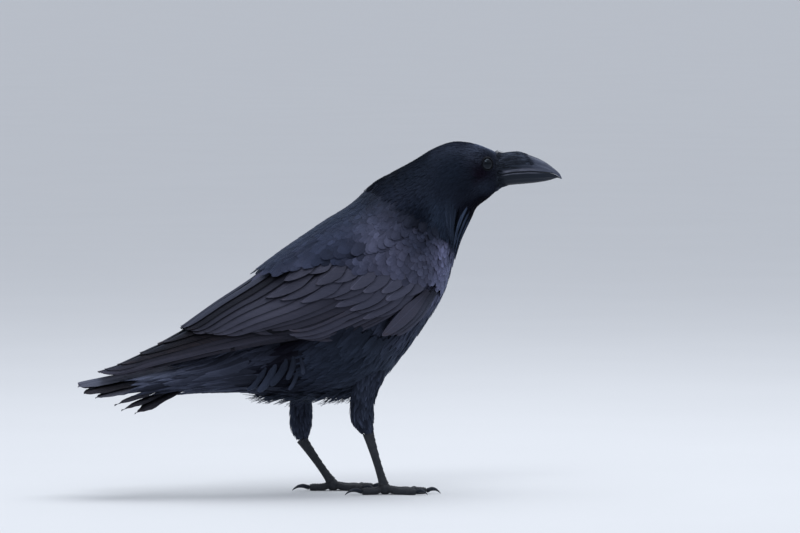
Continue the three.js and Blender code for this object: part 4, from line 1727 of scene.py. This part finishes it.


WING_FANS = (
    FanOfFeathers(
        "primaries", 9,
        ((11.6, 91), (11.7, 86), (11.9, 78), (12.2, 68)),
        ((16.4, 43), (17.1, 40), (17.6, 34), (17.9, 25), (17.75, 17), (17.0, 12), (16, 8), (15, 6)),
        # painted shadow darkens the upper primaries
        8.0, 7.4, Outline.FLIGHT, shade=0.5, brown=0.9, tones_and_painted_light=(0.5, 0.8, 1.3, 1.7, 1.4, 0.7, 0.35, 0.2, 0.2),
    ),
    FanOfFeathers(
        "secondaries", 10,
        ((9.6, 97), (10, 84), (10.5, 62), (10.8, 31), (10.8, 9)),
        ((12.9, 71), (13.6, 57), (14.2, 41), (14.5, 25), (14.6, 5)),
        11.0, 5.4, Outline.FLIGHT, tilt=1.8, shade=0.8,
        # painted shadow, near black, in the hollow of the upper tertials, and a painted highlight on the
        # uppermost one, which catches the sky
        tones_and_painted_light=(0.45, 0.75, 1.0, 1.15, 1.2, 1.1, 0.9, 0.6, 0.0, 1.7),
    ),
    FanOfFeathers(
        "primary_coverts", 6,
        ((9.3, 118), (9.6, 106), (9.9, 92)),
        ((11.7, 98), (12.5, 87.5), (12.7, 81), (12.6, 75)),
        7.0, 5.0, Outline.BLUNT, tilt=1.6, shade=1.08, brown=0.9,
    ),
    FanOfFeathers(
        "greater_coverts", 10,
        ((8.5, 121), (8.9, 106), (9.2, 93), (9.6, 80), (10.1, 66), (10.6, 46)),
        ((10.7, 106), (10.9, 96), (11.05, 86), (11.3, 75), (11.9, 59), (12.5, 40)),
        9.5, 3.6, Outline.OVAL, tilt=1.6, jitter=0.12, shade=1.36, tones_and_painted_light=(1, 1, 1, 1, 0.85, 0.7),
    ),
    FanOfFeathers(
        "median_coverts", 9,
        ((8.0, 122), (8.35, 103), (8.8, 86), (9.3, 70), (9.8, 54), (10.2, 38)),
        ((9.3, 115), (9.8, 98), (10.3, 86), (10.6, 70), (11.0, 52), (11.5, 32)),
        10.5, 1.6, Outline.OVAL, tilt=1.4, jitter=0.18, shade=1.45, tones_and_painted_light=(1, 1, 1, 0.85, 0.6),
    ),
    FanOfFeathers(
        "alula", 3,
        ((8.38, 141), (8.45, 133), (8.7, 124)),
        ((10.4, 132), (10.75, 124), (10.95, 117)),
        10.0, -0.6, Outline.OVAL, tilt=0.9, shade=1.12, brown=0.9,
    ),
)


@dataclass
class Wing:
    """One folded wing, laid in layers on the body's envelope."""

    side: Side
    tint: Colour = (0.042, 0.044, 0.066)
    rise: float = 4.6  # how far the flight feathers stand out behind the coverts' tips
    covert_rows: Rows = Rows(6.15, 10.4, Graded(4.8, 6.6, 6.6, 9.5), Graded(4.6, 6.8, 6.6, 9.5), 0.25)

    def __post_init__(self) -> None:
        """Makes the surface on which b is positive on this side."""
        self.surface = Ladder(ENVELOPE, self.side)

    def _depth(self, top: float, a: Array, b: Array) -> Array:
        """How deep a layer lies under the envelope: top under the coverts, and less behind their tips."""
        return top - np.minimum(self.rise * eased(a - between(COVERT_TIPS, b), 0, 1.6), top)

    def fan(self, sizes: FanOfFeathers, rng: Rng) -> Coat:
        """One layer of long feathers.

        Args:
            sizes: the layer's lines and measures.
            rng: the random source.

        Returns:
            The coat.
        """
        node = f"wing_{self.side.label}_{sizes.label}"
        slot = "flight_feathers" if sizes.label in ("primaries", "secondaries") else "wing_coverts"
        coat = Coat(f"{sizes.label}_{self.side.label}", slot, rng, [node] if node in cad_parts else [])
        n = sizes.count
        share = (np.arange(n) + 0.5) / n
        root = through(sizes.root, share * (len(sizes.root) - 1))
        tip = through(sizes.tip, share * (len(sizes.tip) - 1))
        tip += rng.normal(0, 1, (n, 2)) * sizes.jitter * np.array([1.0, 8.0])
        tones_and_painted_light = np.interp(share, np.linspace(0, 1, len(sizes.tones_and_painted_light)), sizes.tones_and_painted_light) * sizes.shade
        tint = varied(np.array([self.tint]) * tones_and_painted_light[:, None], rng, 0.1)
        coat.lay(
            self.surface, VANE, sizes.outline, root, tip,
            half=sizes.half * rng.uniform(0.95, 1.05, n), tint=tint, sink=partial(self._depth, sizes.top),
            low=0.0, high=rng.normal(0, 0.1, n), camber=0.03, tilt=sizes.tilt, thickness=sizes.thick,
            lead=sizes.lead, fray=0.03, wear=rng.uniform(0.4, 1, n) * sizes.brown,
            shingled=True,
        )
        return coat

    def lesser_coverts(self, rng: Rng) -> Coat:
        """Small rounded feathers over the shoulder, from the wrist to the greater coverts.

        Args:
            rng: the random source.

        Returns:
            The coat.
        """
        nodes = [f"wing_{self.side.label}_shoulder_coverts"]
        coat = Coat(f"lesser_coverts_{self.side.label}", "wing_coverts", rng, nodes)

        def edges(a: float) -> Span:
            """From under the fold to the wing's lower edge."""
            return float(between(FOLD, a)) - 6, float(between(WING_FOOT, a)) - 2

        roots = self.covert_rows.over(self.surface, edges, rng)
        size = eased(roots[:, 0], 6.6, 9.8)
        length = mixed(9.5, 18, size) * rng.uniform(0.88, 1.15, len(roots))
        reach = roots[:, 0] + length / self.surface.stretch(roots)
        keep = reach < between(LESSER_EDGE, roots[:, 1]) + rng.normal(0, 0.05, len(roots))
        roots, size, length = roots[keep], size[keep], length[keep]
        n = len(roots)
        tip = aimed(self.surface, roots, rng.normal(-0.05, 0.10, n), length)
        # painted shade: coverts tucked under the scapulars, near the fold, are painted darker
        clear_of_fold_shade = eased(tip[:, 1] - between(FOLD, tip[:, 0]), 0, 6)
        tint = plumage_tint(self.surface.spots(roots)) * (0.45 + 0.55 * clear_of_fold_shade)[:, None]
        coat.lay(
            self.surface, SHEATH, Outline.ROUND, roots, tip,
            half=mixed(4.6, 7.0, size) * rng.uniform(0.88, 1.12, n), tint=varied(tint, rng),
            low=-0.9, high=rng.uniform(0.0, 0.35, n), camber=0.02, fray=0.2,
            wear=rng.uniform(0, 0.5, n), thickness=0.10,
        )
        return coat


# ---- tail


@dataclass(frozen=True)
class CovertLay:
    """Tail coverts on one part of the surface: where their roots are, their lengths and their number."""

    under: bool  # whether they lie under the fan of the tail
    along: Span
    across: Span
    lengths: Span
    count: int


@dataclass
class Tail:
    """Twelve stepped tail feathers and the coverts above and below their roots."""

    # One side's feathers from the outermost in: share of the length and of the half width at the tip,
    # tone, half width in millimetres, and how finely the end is drawn out.
    # the tone also paints a shadow on the feather next to the middle one and a pale highlight on the middle
    # one, which catches the sky
    tips: tuple = (
        (0.650, 1.00, 0.9, 8.0, 2.8), (0.725, 0.90, 1.0, 5.5, 2.6), (0.780, 0.76, 1.2, 6.0, 2.6),
        (0.880, 0.52, 1.9, 11.0, 1.6), (0.945, 0.34, 0.4, 13.5, 1.0), (0.975, 0.08, 2.8, 14.0, 1.0),
    )
    tint: Colour = (0.024, 0.026, 0.036)
    covert_tint: Colour = (0.034, 0.039, 0.061)
    covert_lays: tuple = (
        CovertLay(True, (0.05, 0.28), (0, 0.5), (45, 70), 70),
        CovertLay(False, (1.6, 3.6), (112, 180), (58, 84), 150),
        CovertLay(False, (1.9, 4.2), (56, 125), (50, 78), 190),
        CovertLay(False, (1.2, 2.6), (0, 60), (50, 64), 70),
        CovertLay(False, (0.2, 1.6), (0, 62), (36, 48), 90),
    )

    def rectrices(self, rng: Rng) -> Coat:
        """The long feathers: the middle pair lies on top, each next one under it.

        Args:
            rng: the random source.

        Returns:
            The coat.
        """
        coat = Coat("tail_feathers", "flight_feathers", rng, ["tail"])
        fan = TailFan()
        reach, out, tone, half, point = np.array(self.tips).T
        n = len(out)
        for side in Side:
            place = side.value * out
            root = np.stack([np.full(n, 0.02), place * 0.5], -1)
            tip = np.stack([reach + rng.normal(0, 0.006, n), place], -1)
            coat.lay(
                fan, VANE, Outline.BLUNT, root, tip, half=half,
                tint=varied(np.array([self.tint]) * tone[:, None], rng, 0.1),
                low=-0.2 - 2.2 * out, high=-0.4 - 2.4 * out + rng.normal(0, 0.25, n), point=point,
                camber=0.04, thickness=0.25, lead=1 + 0.25 * side.value, tilt=1.8 * side.value, fray=0.22,
                wear=rng.uniform(0.3, 0.8, n), shingled=True, bares=side.value,
            )
        return coat

    def coverts(self, rng: Rng) -> Coat:
        """Feathers over the root of the tail, above and below.

        Args:
            rng: the random source.

        Returns:
            The coat.
        """
        coat = Coat("tail_coverts", "body_plumage", rng)
        rump, under = Ladder(RUMP_COVER, first=12.0), TailFan(7.0)
        for lay in self.covert_lays:
            n, surface = lay.count, under if lay.under else rump
            across = rng.uniform(*lay.across, n) * np.where(rng.random(n) < 0.5, -1, 1)
            root = np.stack([rng.uniform(*lay.along, n), across], -1)
            tip = aimed(surface, root, rng.normal(0, 0.05, n), rng.uniform(*lay.lengths, n))
            coat.lay(
                surface, COVERT, Outline.POINTED, root, tip, half=rng.uniform(3.8, 6.0, n),
                tint=dyed(self.covert_tint, n, rng, 0.28),
                low=rng.uniform(-3.5, -1.8, n), high=rng.uniform(0.1, 1.0, n), camber=0.06, fray=0.12,
            )
        return coat


# ---- bill, eyes


@dataclass
class Bill:
    """The closed bill: two horn halves and the bristles over its root."""

    sides: int = 72
    rings: int = 80
    ridge_line: float = 0.55
    outer: float = 0.74  # share of a section that is the outer face; the rest faces the mouth
    bristle_tint: Colour = (0.026, 0.032, 0.047)
    cover_tint: Colour = (0.011, 0.014, 0.022)
    ruff_tint: Colour = (0.020, 0.025, 0.037)
    cover_count: int = 220
    ruff_count: int = 420

    def _half(self, surface: Mandible, last: float, hollow: float) -> BMesh:
        """One half, its outer face bent round and its mouth face drawn in.

        Args:
            surface: the half's outer face.
            last: the place of its tip.
            hollow: how far the mouth face is arched, as a part of the width.

        Returns:
            The form.
        """

        def form(s: Array, t: Array) -> Array:
            """The outer face from the left edge over the ridge, then the mouth face."""
            a = mixed(-0.4, last, s)
            b = 90 - 90 * np.cos(np.clip(t / self.outer, 0, 1) * math.pi)
            _, _, normal = surface.slopes(np.minimum(a, last - 0.02), np.clip(b, 3, 177))
            low = np.minimum(b, 180 - b)
            swell = self.ridge_line * (bell(low, 17, 7) - 0.5 * bell(low, 32, 8))
            swell = swell * eased(a, 0.3, 1.2) * (1 - eased(a, 3.6, 4.8))
            point = surface.at(a, b) + normal * swell[:, None]
            back = np.clip((t - self.outer) / (1 - self.outer), 0, 1)
            mouth = mixed(surface.at(a, 180), surface.at(a, 0), back[:, None])
            mouth[:, 2] += hollow * np.sin(np.pi * back) * through(BILL_WIDTH, a)[:, 0]
            return np.where((t > self.outer)[:, None], mouth, point)

        return bent_sheet(form, self.rings, self.sides)

    def build(self, rng: Rng) -> None:
        """Puts both halves and the bristles in the scene.

        Args:
            rng: the random source.
        """
        # the upper half's pale worn colour is also a sheen painted towards its tip
        upper = HornFinish("upper bill horn", worn=(0.072, 0.082, 0.124), polish=0.45).material()
        lower = HornFinish(
            "lower bill horn", worn=(0.0075, 0.0095, 0.016), band=(0.9, 2.0), polish=0.1
        ).material()

        def marks(points: Array) -> Array:
            """How near the tip, and the height above the cutting edge, 0.5 at the edge."""
            along = np.clip((points[:, 0] - 165) / 72, 0, 1)
            edge = through(GAPE, np.interp(points[:, 0], [x for x, _ in GAPE], range(len(GAPE))))[:, 1]
            return np.stack([along, np.clip(0.5 + (points[:, 2] - edge) / EDGE_SPAN, 0, 1)], -1)

        for name, horn, is_upper, last, hollow in (
            ("bill_upper", upper, True, 6.0, 0.12),
            ("bill_lower", lower, False, 5.95, -0.12),
        ):
            mesh = smooth_mesh(self._half(Mandible(is_upper), last, hollow), name, 50, marks)
            show(f"{name}_horn", mesh, horn, [name])
        self._bristles(rng).build(PlumageFinish("bristles", specular=0.2).material())

    def _bristles(self, rng: Rng) -> Coat:
        """Stiff feathers that lie forward over the nostrils, and short ones over the bill's root.

        Args:
            rng: the random source.

        Returns:
            The coat.
        """
        coat = Coat("nasal_bristles", "head_plumage", rng, ["nasal_tuft"])
        over = Mandible(True, 0.35)
        for n, first, last in ((700, -0.35, 0.4), (560, 0.3, 1.0)):
            height = np.where(rng.random(n) < 0.6, rng.uniform(0.27, 1, n), rng.uniform(0.7, 1, n))
            across = np.degrees(np.arcsin(height**1.25))
            across = np.where(rng.random(n) < 0.5, across, 180 - across)
            root = np.stack([rng.uniform(first, last, n), across], -1)
            reach = 34 + 11 * bell(height, 0.42, 0.33)
            length = np.clip(reach - 21 * root[:, 0], 8, 43) * rng.uniform(0.22, 1.0, n) ** 1.3
            lean = np.sign(across - 90) * (1 - height) * 0.05 + rng.normal(0, 0.04, n)
            coat.lay(
                over, LOCK, Outline.LANCE, root, aimed(over, root, lean, length),
                half=rng.uniform(0.45, 0.8, n), tint=dyed(self.bristle_tint, n, rng, 0.5),
                low=rng.uniform(-0.3, 0.9, n), high=rng.uniform(-0.75, 0.1, n), camber=0.25, thickness=0.10,
                bow=rng.normal(0, 0.4, n),
            )
        self._ruff(coat)
        for upper in (True, False):
            self._root_cover(coat, upper)
        return coat

    def _root_cover(self, coat: Coat, upper: bool) -> None:
        """Adds short feathers over the root of one half of the bill.

        Args:
            coat: their coat.
            upper: whether it is the upper half.
        """
        rng, surface, n = coat.rng, Mandible(upper, 0.7), self.cover_count
        root = np.stack([rng.uniform(-0.45, -0.05, n), rng.uniform(2, 178, n)], -1)
        chin = bell(root[:, 1], 90, 30) * (not upper)
        length = rng.uniform(3.0, 7.5, n) if upper else 1.8 + 8 * rng.random(n) ** 2.5
        length = length + chin * rng.uniform(2, 8, n)
        tip = aimed(surface, root, rng.normal(0, 0.1, n), length)
        coat.lay(
            surface, BRISTLE, Outline.LANCE, root, tip, half=rng.uniform(0.6, 1.0, n),
            tint=dyed(self.cover_tint, n, rng, 0.3),
            low=rng.uniform(0.0, 0.5, n), high=rng.uniform(-0.7, -0.1, n), camber=0.25, thickness=0.10,
        )

    def _ruff(self, coat: Coat) -> None:
        """Adds small feathers of the face that stand forward round the root of the bill.

        Args:
            coat: their coat.
        """
        rng, face, n = coat.rng, Ladder(ENVELOPE), self.ruff_count
        root = np.stack([rng.uniform(0.02, 0.42, n), rng.uniform(-180, 180, n)], -1)
        above = bell(root[:, 1], 0, 38)
        length = rng.uniform(1.2, 3.2, n) + above * 1.6 + 4 * (np.abs(root[:, 1]) > 140)
        tip = aimed(face, root, rng.normal(math.pi, 0.2, n), length)
        coat.lay(
            face, BRISTLE, Outline.LANCE, root, tip, half=rng.uniform(0.5, 0.9, n),
            tint=dyed(self.ruff_tint, n, rng, 0.3) * (1 - 0.9 * above)[:, None],
            low=-0.4, high=rng.uniform(0.4, 1.3, n) + above * rng.uniform(0, 4.0, n),
            camber=0.15, thickness=0.12,
        )


@dataclass
class Eye:
    """An eyeball with a raised cornea, and the lids round it."""

    side: Side
    opening: Span = (5.7, 6.9)  # half width and half height between the lids
    width: float = 8.1
    ahead: float = -1.2
    above: float = -0.6
    lid_tint: Colour = (0.005, 0.006, 0.009)

    def axes(self) -> tuple[Array, Array, Array]:
        """The eye's own directions.

        Returns:
            Outwards, ahead and up.
        """
        pivot = np.array([TURN_PIVOT, 0, 0])
        out = turned(pivot + (0.13, self.side.value, 0.02)) - turned(pivot)
        out /= np.linalg.norm(out)
        up = np.array([0.0, 0.0, 1.0])
        up = up - out * (up @ out)
        up /= np.linalg.norm(up)
        ahead = np.cross(up, out)
        return out, ahead * np.sign(ahead[0]), up

    def build(self) -> None:
        """Puts the eyeball and its lids in the scene."""
        axes = self.axes()
        centre = eye_centre(self.side) + self.ahead * axes[1] + self.above * axes[2]

        def around(*parts: Array) -> Array:
            """The points at these distances outwards, ahead and up from the eye's middle."""
            return centre + sum(part[:, None] * axis for part, axis in zip(parts, axes))

        def ball(s: Array, t: Array) -> Array:
            """The globe, from its middle outside to its back."""
            polar, turn = s * math.pi, t * 2 * math.pi
            out, wide = np.cos(polar) * EYE_RADIUS, np.sin(polar) * self.width
            return around(out * (1 + 0.03 * bell(polar, 0, 0.6)), wide * np.cos(turn), wide * np.sin(turn))

        def marks(points: Array) -> Array:
            """The angle from the eye's middle, as a share of a half turn."""
            apart = points - centre
            away = np.arccos(np.clip(apart @ axes[0] / np.linalg.norm(apart, axis=-1), -1, 1)) / math.pi
            return np.stack([away, away], -1)

        def lid(s: Array, t: Array) -> Array:
            """A soft ring round the opening, thicker above as a brow."""
            about, across = s * 2 * math.pi, t * 2 * math.pi
            thick = 0.62 + 0.3 * np.clip(np.sin(about), 0, 1)
            wide, tall = ((half + thick * (1 + np.cos(across))) for half in self.opening)
            wide, tall = wide * np.cos(about), tall * np.sin(about)
            out = np.hypot(wide, tall) / (self.width + 1.6)
            depth = EYE_RADIUS * np.sqrt(np.clip(1 - out**2, 0.02, 1))
            ripple = 0.10 * np.sin(about * 46) * np.clip(np.sin(across), 0, 1)
            return around(depth + np.sin(across) * thick * 0.8 - 0.35 + ripple, wide, tall)

        label = self.side.label
        mesh = smooth_mesh(bent_sheet(ball, 36, 40), f"eyeball_{label}", marks=marks)
        show(f"eyeball_{label}", mesh, EyeFinish().material(), [f"eye_{label}"])
        mesh = smooth_mesh(bent_sheet(lid, 96, 18), f"eyelids_{label}")
        colour_points(mesh, "Tint", np.tile(self.lid_tint, (len(mesh.vertices), 1)))
        show(f"eyelids_{label}", mesh, SkinFinish("eyelid skin").material())


# ---- legs


# Outlines of toe and claw: share of the length, lift and thickness, in radii.
TOE_PADS = ((0, 0.9, 1), (0.24, 0.4, 0.96), (0.42, 0, 1.08), (0.6, 0, 0.98), (0.82, 0, 1.02), (1, 0.06, 0.76))
CLAW = (
    (0, 0.1, 0.62), (0.05, 0.1, 0.62), (0.35, 0.45, 0.55), (0.66, 0.3, 0.4), (0.9, -0.3, 0.22),
    (1, -0.78, 0.1),
)
FOOT_PAD = ((0, 0.05, 0.3), (0.3, 0.12, 0.95), (0.7, 0.1, 0.95), (1, 0.05, 0.3))
# The tarsus: share of the length, half depth and half width.
TARSUS = ((0, 6.4, 6), (0.14, 5.6, 4.8), (0.5, 4.4, 3.9), (0.82, 4.6, 4.3), (0.95, 5.8, 5.4))
# Toes: degrees from straight ahead towards the outer side, length, half thickness, length of the claw.
TOES = (
    ("inner", -24, 36, 4.1, 15), ("middle", 3, 49, 4.3, 16),
    ("outer", 27, 38, 4.0, 13), ("hind", 176, 27, 4.4, 20),
)


@dataclass(frozen=True)
class Plates:
    """Overlapping plates in a row: each rises towards its lower edge and drops to the next."""

    height: float
    sunk: float
    bow: float
    edge: float

    def at(self, place: Array) -> Array:
        """The height at places that are counted in plates."""
        phase = np.mod(place, 1.0)
        return phase**self.bow * (1 - eased(phase, self.edge, 1.0)) * self.height - self.sunk


@dataclass
class Leg:
    """A feathered shank, a scaled tarsus, four toes and their claws."""

    side: Side
    shank: tuple
    heel: Span
    foot: Span
    scutes: int = 11
    toe_plate: float = 3.0  # length of a plate on a toe
    tarsus_plates: Plates = Plates(0.6, 0.15, 1.5, 0.93)
    toe_plates: Plates = Plates(0.5, 0.1, 1.4, 0.92)
    rows: Rows = Rows(0.12, 0.93, Graded(4.2, 4.2), Graded(3.4, 3.4), 0.28)
    tint: Colour = (0.026, 0.032, 0.052)

    def limb(self) -> Limb:
        """The shank's outer form."""
        return Limb(self.shank, self.side)

    def _tarsus(self) -> BMesh:
        """The bare leg, with a row of overlapping plates down its front.

        Returns:
            The form.
        """
        top, foot = np.array(self.heel) - (0, 1), np.array(self.foot)
        stations = [(*mixed(top, foot, t), depth, width) for t, depth, width in TARSUS]
        limb = Limb(stations, self.side)

        def form(s: Array, t: Array) -> Array:
            """Plates in front and a ridge behind."""
            b = t * 360
            ahead = np.cos(np.radians(b))
            height = self.tarsus_plates.at(s * self.scutes) * eased(ahead, -0.15, 0.45)
            height = height + 0.35 * eased(-ahead, 0.75, 1.0)
            return limb.at(s, b) + limb.slopes(s, b)[2] * height[:, None]

        return bent_sheet(form, self.scutes * 12, 28)

    def _toe(self, yaw: float, length: float, radius: float) -> BMesh:
        """A toe with plates along its top and pads under its joints.

        Args:
            yaw: its heading.
            length: its length.
            radius: its half thickness.

        Returns:
            The form.
        """
        digit = Digit(self.foot, self.side, yaw, 0.0, length, radius, TOE_PADS)
        plates = round(length / self.toe_plate)

        def form(s: Array, t: Array) -> Array:
            """Plates above, pads below, flat where it is pressed on the floor."""
            b = t * 360
            height = self.toe_plates.at(s * plates) * eased(np.cos(np.radians(b)), -0.1, 0.5)
            _, _, normal = digit.slopes(s, b)
            normal *= np.sign((normal * (digit.at(s, b) - digit.at(s, b + 180))).sum(-1, keepdims=True))
            end = 1 - 0.55 * eased(s, 0.965, 1.0)
            return mixed(digit.core(s), digit.at(s, b) + normal * height[:, None], end[:, None])

        return bent_sheet(form, plates * 8, 20)

    def _claw(self, name: str, yaw: float, length: float, radius: float, claw: float) -> Mesh:
        """A curved claw, keeled above and grooved below.

        Args:
            name: the mesh's name.
            yaw: the toe's heading.
            length: the toe's length.
            radius: the toe's half thickness.
            claw: the claw's length.

        Returns:
            The mesh.
        """
        digit = Digit(self.foot, self.side, yaw, length + 0.2, claw, radius, CLAW)

        def form(s: Array, t: Array) -> Array:
            """A section a little taller than wide."""
            b = t * 360
            narrow = 1 - 0.25 * np.abs(np.sin(np.radians(b))) ** 0.8
            return mixed(digit.core(s), digit.at(s, b), narrow[:, None])

        def marks(points: Array) -> Array:
            """How near the claw's tip."""
            along = np.clip((points - digit.start) @ (digit.heading * claw) / claw**2, 0, 1)
            return np.stack([along, 0 * along], -1)

        return smooth_mesh(bent_sheet(form, 24, 18), name, marks=marks)

    def build(self) -> None:
        """Puts the bare parts of the leg in the scene."""
        label = self.side.label
        scales = ScaleFinish().material()
        horn = HornFinish("claw horn", roughness=0.3, grain=1500.0).material()
        mesh = smooth_mesh(self._tarsus(), f"tarsus_{label}", 50)
        show(f"tarsus_{label}", mesh, scales, [f"leg_{label}_tarsus"])
        pad = Digit(self.foot, self.side, 0.0, -7.0, 15.0, 7.0, FOOT_PAD)
        forms = [bent_sheet(lambda s, t: pad.at(s, t * 360), 16, 24)]
        forms += [self._toe(yaw, length, radius) for _, yaw, length, radius, _ in TOES]
        mesh = smooth_mesh(joined(forms), f"foot_{label}", 50)
        show(f"toes_{label}", mesh, scales, [f"foot_{label}"])
        for name, yaw, length, radius, claw in TOES:
            mesh = self._claw(f"claw_{label}_{name}", yaw, length, radius, claw)
            show(f"claw_horn_{label}_{name}", mesh, horn, [f"claw_{label}_{name}"])

    def feathers(self, rng: Rng) -> Coat:
        """Short feathers down the shank, ragged at its lower end.

        Args:
            rng: the random source.

        Returns:
            The coat.
        """
        coat = Coat(f"shank_feathers_{self.side.label}", "body_plumage", rng)
        limb = self.limb()
        roots = self.rows.over(limb, all_round, rng)
        n = len(roots)
        length = rng.uniform(11, 17, n) * (1 - 0.35 * eased(roots[:, 0], 0.7, 0.95))
        tip = aimed(limb, roots, rng.normal(0, 0.12, n), length)
        coat.lay(
            limb, SCALE, Outline.POINTED, roots, tip, half=rng.uniform(1.8, 2.7, n),
            tint=dyed(self.tint, n, rng, 0.25),
            low=-1.4, high=rng.uniform(-0.2, 0.8, n), camber=0.15, fray=0.2,
        )
        return coat


LEGS = (
    Leg(
        Side.RIGHT,
        ((16, 165, 15, 11), (10, 142, 20, 15), (5, 122, 15.5, 13.5), (2, 104, 14, 12.5),
         (2, 90, 14, 12), (5, 79.5, 10.8, 10), (8.5, 73, 7, 6.5)),
        (9, 71.5), (28, 8.5),
    ),
    Leg(
        Side.LEFT,
        ((-40, 165, 15, 11), (-47, 142, 19, 15), (-55, 122, 14.5, 13.5), (-57, 104, 12.8, 12),
         (-57, 88, 13.2, 12), (-57, 73, 12, 11), (-56, 63, 8, 7.5)),
        (-56, 61), (-20, 8.5),
    ),
)


# ---- studio


@dataclass
class Studio:
    """A plain pale floor, soft light and the camera."""

    azimuth: float = -12.0
    elevation: float = 3.0
    distance: float = 7.667
    lens: float = 300.0
    sensor: float = 36.0
    far: float = 200.0
    aim_right: float = 0.093
    aim_up: float = 0.2606
    floor_radius: float = 60.0
    sky: tuple = ((0.0, (0.30, 0.33, 0.38)), (1.0, (1.0, 1.04, 1.12)), (0.35, (0.50, 0.54, 0.60)))
    lamp_colour: Colour = (0.94, 0.97, 1.0)
    lamps: tuple = (("key", (-0.7, -1.6, 2.6), 1.0, 16.0), ("top", (0.5, 0.4, 3.0), 2.2, 50.0))
    lamp_aim: tuple[float, float, float] = (0.0, 0.0, 0.2)

    def build(self) -> None:
        """Makes the floor, the lights and the camera."""
        self._floor()
        self._lights()
        self._camera()

    def _floor(self) -> None:
        """A wide round floor."""
        bm = bmesh.new()
        bmesh.ops.create_circle(bm, cap_ends=True, segments=64, radius=self.floor_radius)
        mesh = bpy.data.meshes.new("floor")
        bm.to_mesh(mesh)
        bm.free()
        mesh.materials.append(FloorFinish().material())
        put("floor", mesh)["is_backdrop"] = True

    def _lights(self) -> None:
        """A pale sky all round and two large soft lights."""
        world = bpy.data.worlds.new("studio")
        world.use_nodes = True
        bpy.context.scene.world = world
        graph = Graph(world.node_tree)
        place = graph.add("ShaderNodeTexCoord", None, None, "Generated")
        height = graph.add("ShaderNodeSeparateXYZ", None, {0: place}, "Z")
        sky = graph.add("ShaderNodeValToRGB", {"stops": self.sky}, {0: height})
        graph.link(sky, graph.tree.nodes["Background"].inputs["Color"])
        for name, spot, size, power in self.lamps:
            light = bpy.data.lights.new(name, "AREA")
            light.shape, light.size, light.energy = "SQUARE", size, power
            light.color = self.lamp_colour
            lamp = put(name, light)
            lamp.location = spot
            lamp.rotation_euler = (Vector(self.lamp_aim) - Vector(spot)).to_track_quat("-Z", "Y").to_euler()

    def _camera(self) -> None:
        """A long lens, level with the bird."""
        a, e = math.radians(self.azimuth), math.radians(self.elevation)
        right = Vector((math.cos(a), math.sin(a), 0))
        back = Vector((math.sin(a) * math.cos(e), -math.cos(a) * math.cos(e), math.sin(e)))
        up = back.cross(right)
        data = bpy.data.cameras.new("camera")
        data.lens, data.sensor_width, data.clip_end = self.lens, self.sensor, self.far
        camera = put("camera", data)
        camera.location = right * self.aim_right + up * self.aim_up + back * self.distance
        camera.rotation_euler = back.to_track_quat("Z", "Y").to_euler()
        bpy.context.scene.camera = camera
        bpy.context.scene.view_settings.view_transform = "Standard"


# ---- assembly


def boxed(corners: tuple[Vector, Vector]) -> list[list[float]]:
    """A box as plain lists."""
    return [list(corner) for corner in corners]


def main() -> None:
    """Builds the bird and the studio, and takes the bounds of the scene before and after it is dressed."""
    logging.basicConfig(level=logging.INFO, format="%(message)s")
    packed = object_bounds()
    Studio().build()
    rng = np.random.default_rng(SEED)
    finishes = (HEAD_FINISH, BODY_FINISH, COVERT_FINISH, FLIGHT_FINISH)
    fine, soft, covert, flight = (finish.material() for finish in finishes)
    plumage = Plumage()
    plumage.skin([leg.limb() for leg in LEGS])
    plumage.head(rng).build(fine)
    plumage.neck(rng).build(fine)
    plumage.mantle(rng).build(covert)
    plumage.breast(rng).build(soft)
    for side in Side:
        wing = Wing(side)
        wing.lesser_coverts(rng).build(covert)
        for sizes in WING_FANS:
            wing.fan(sizes, rng).build(flight)
    tail = Tail()
    tail.rectrices(rng).build(flight)
    tail.coverts(rng).build(soft)
    for leg in LEGS:
        leg.build()
        leg.feathers(rng).build(soft)
    Bill().build(rng)
    for side in Side:
        Eye(side).build()
    sizes = {"packed": boxed(packed), "dressed": boxed(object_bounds())}


if __name__ == "__main__":
    main()
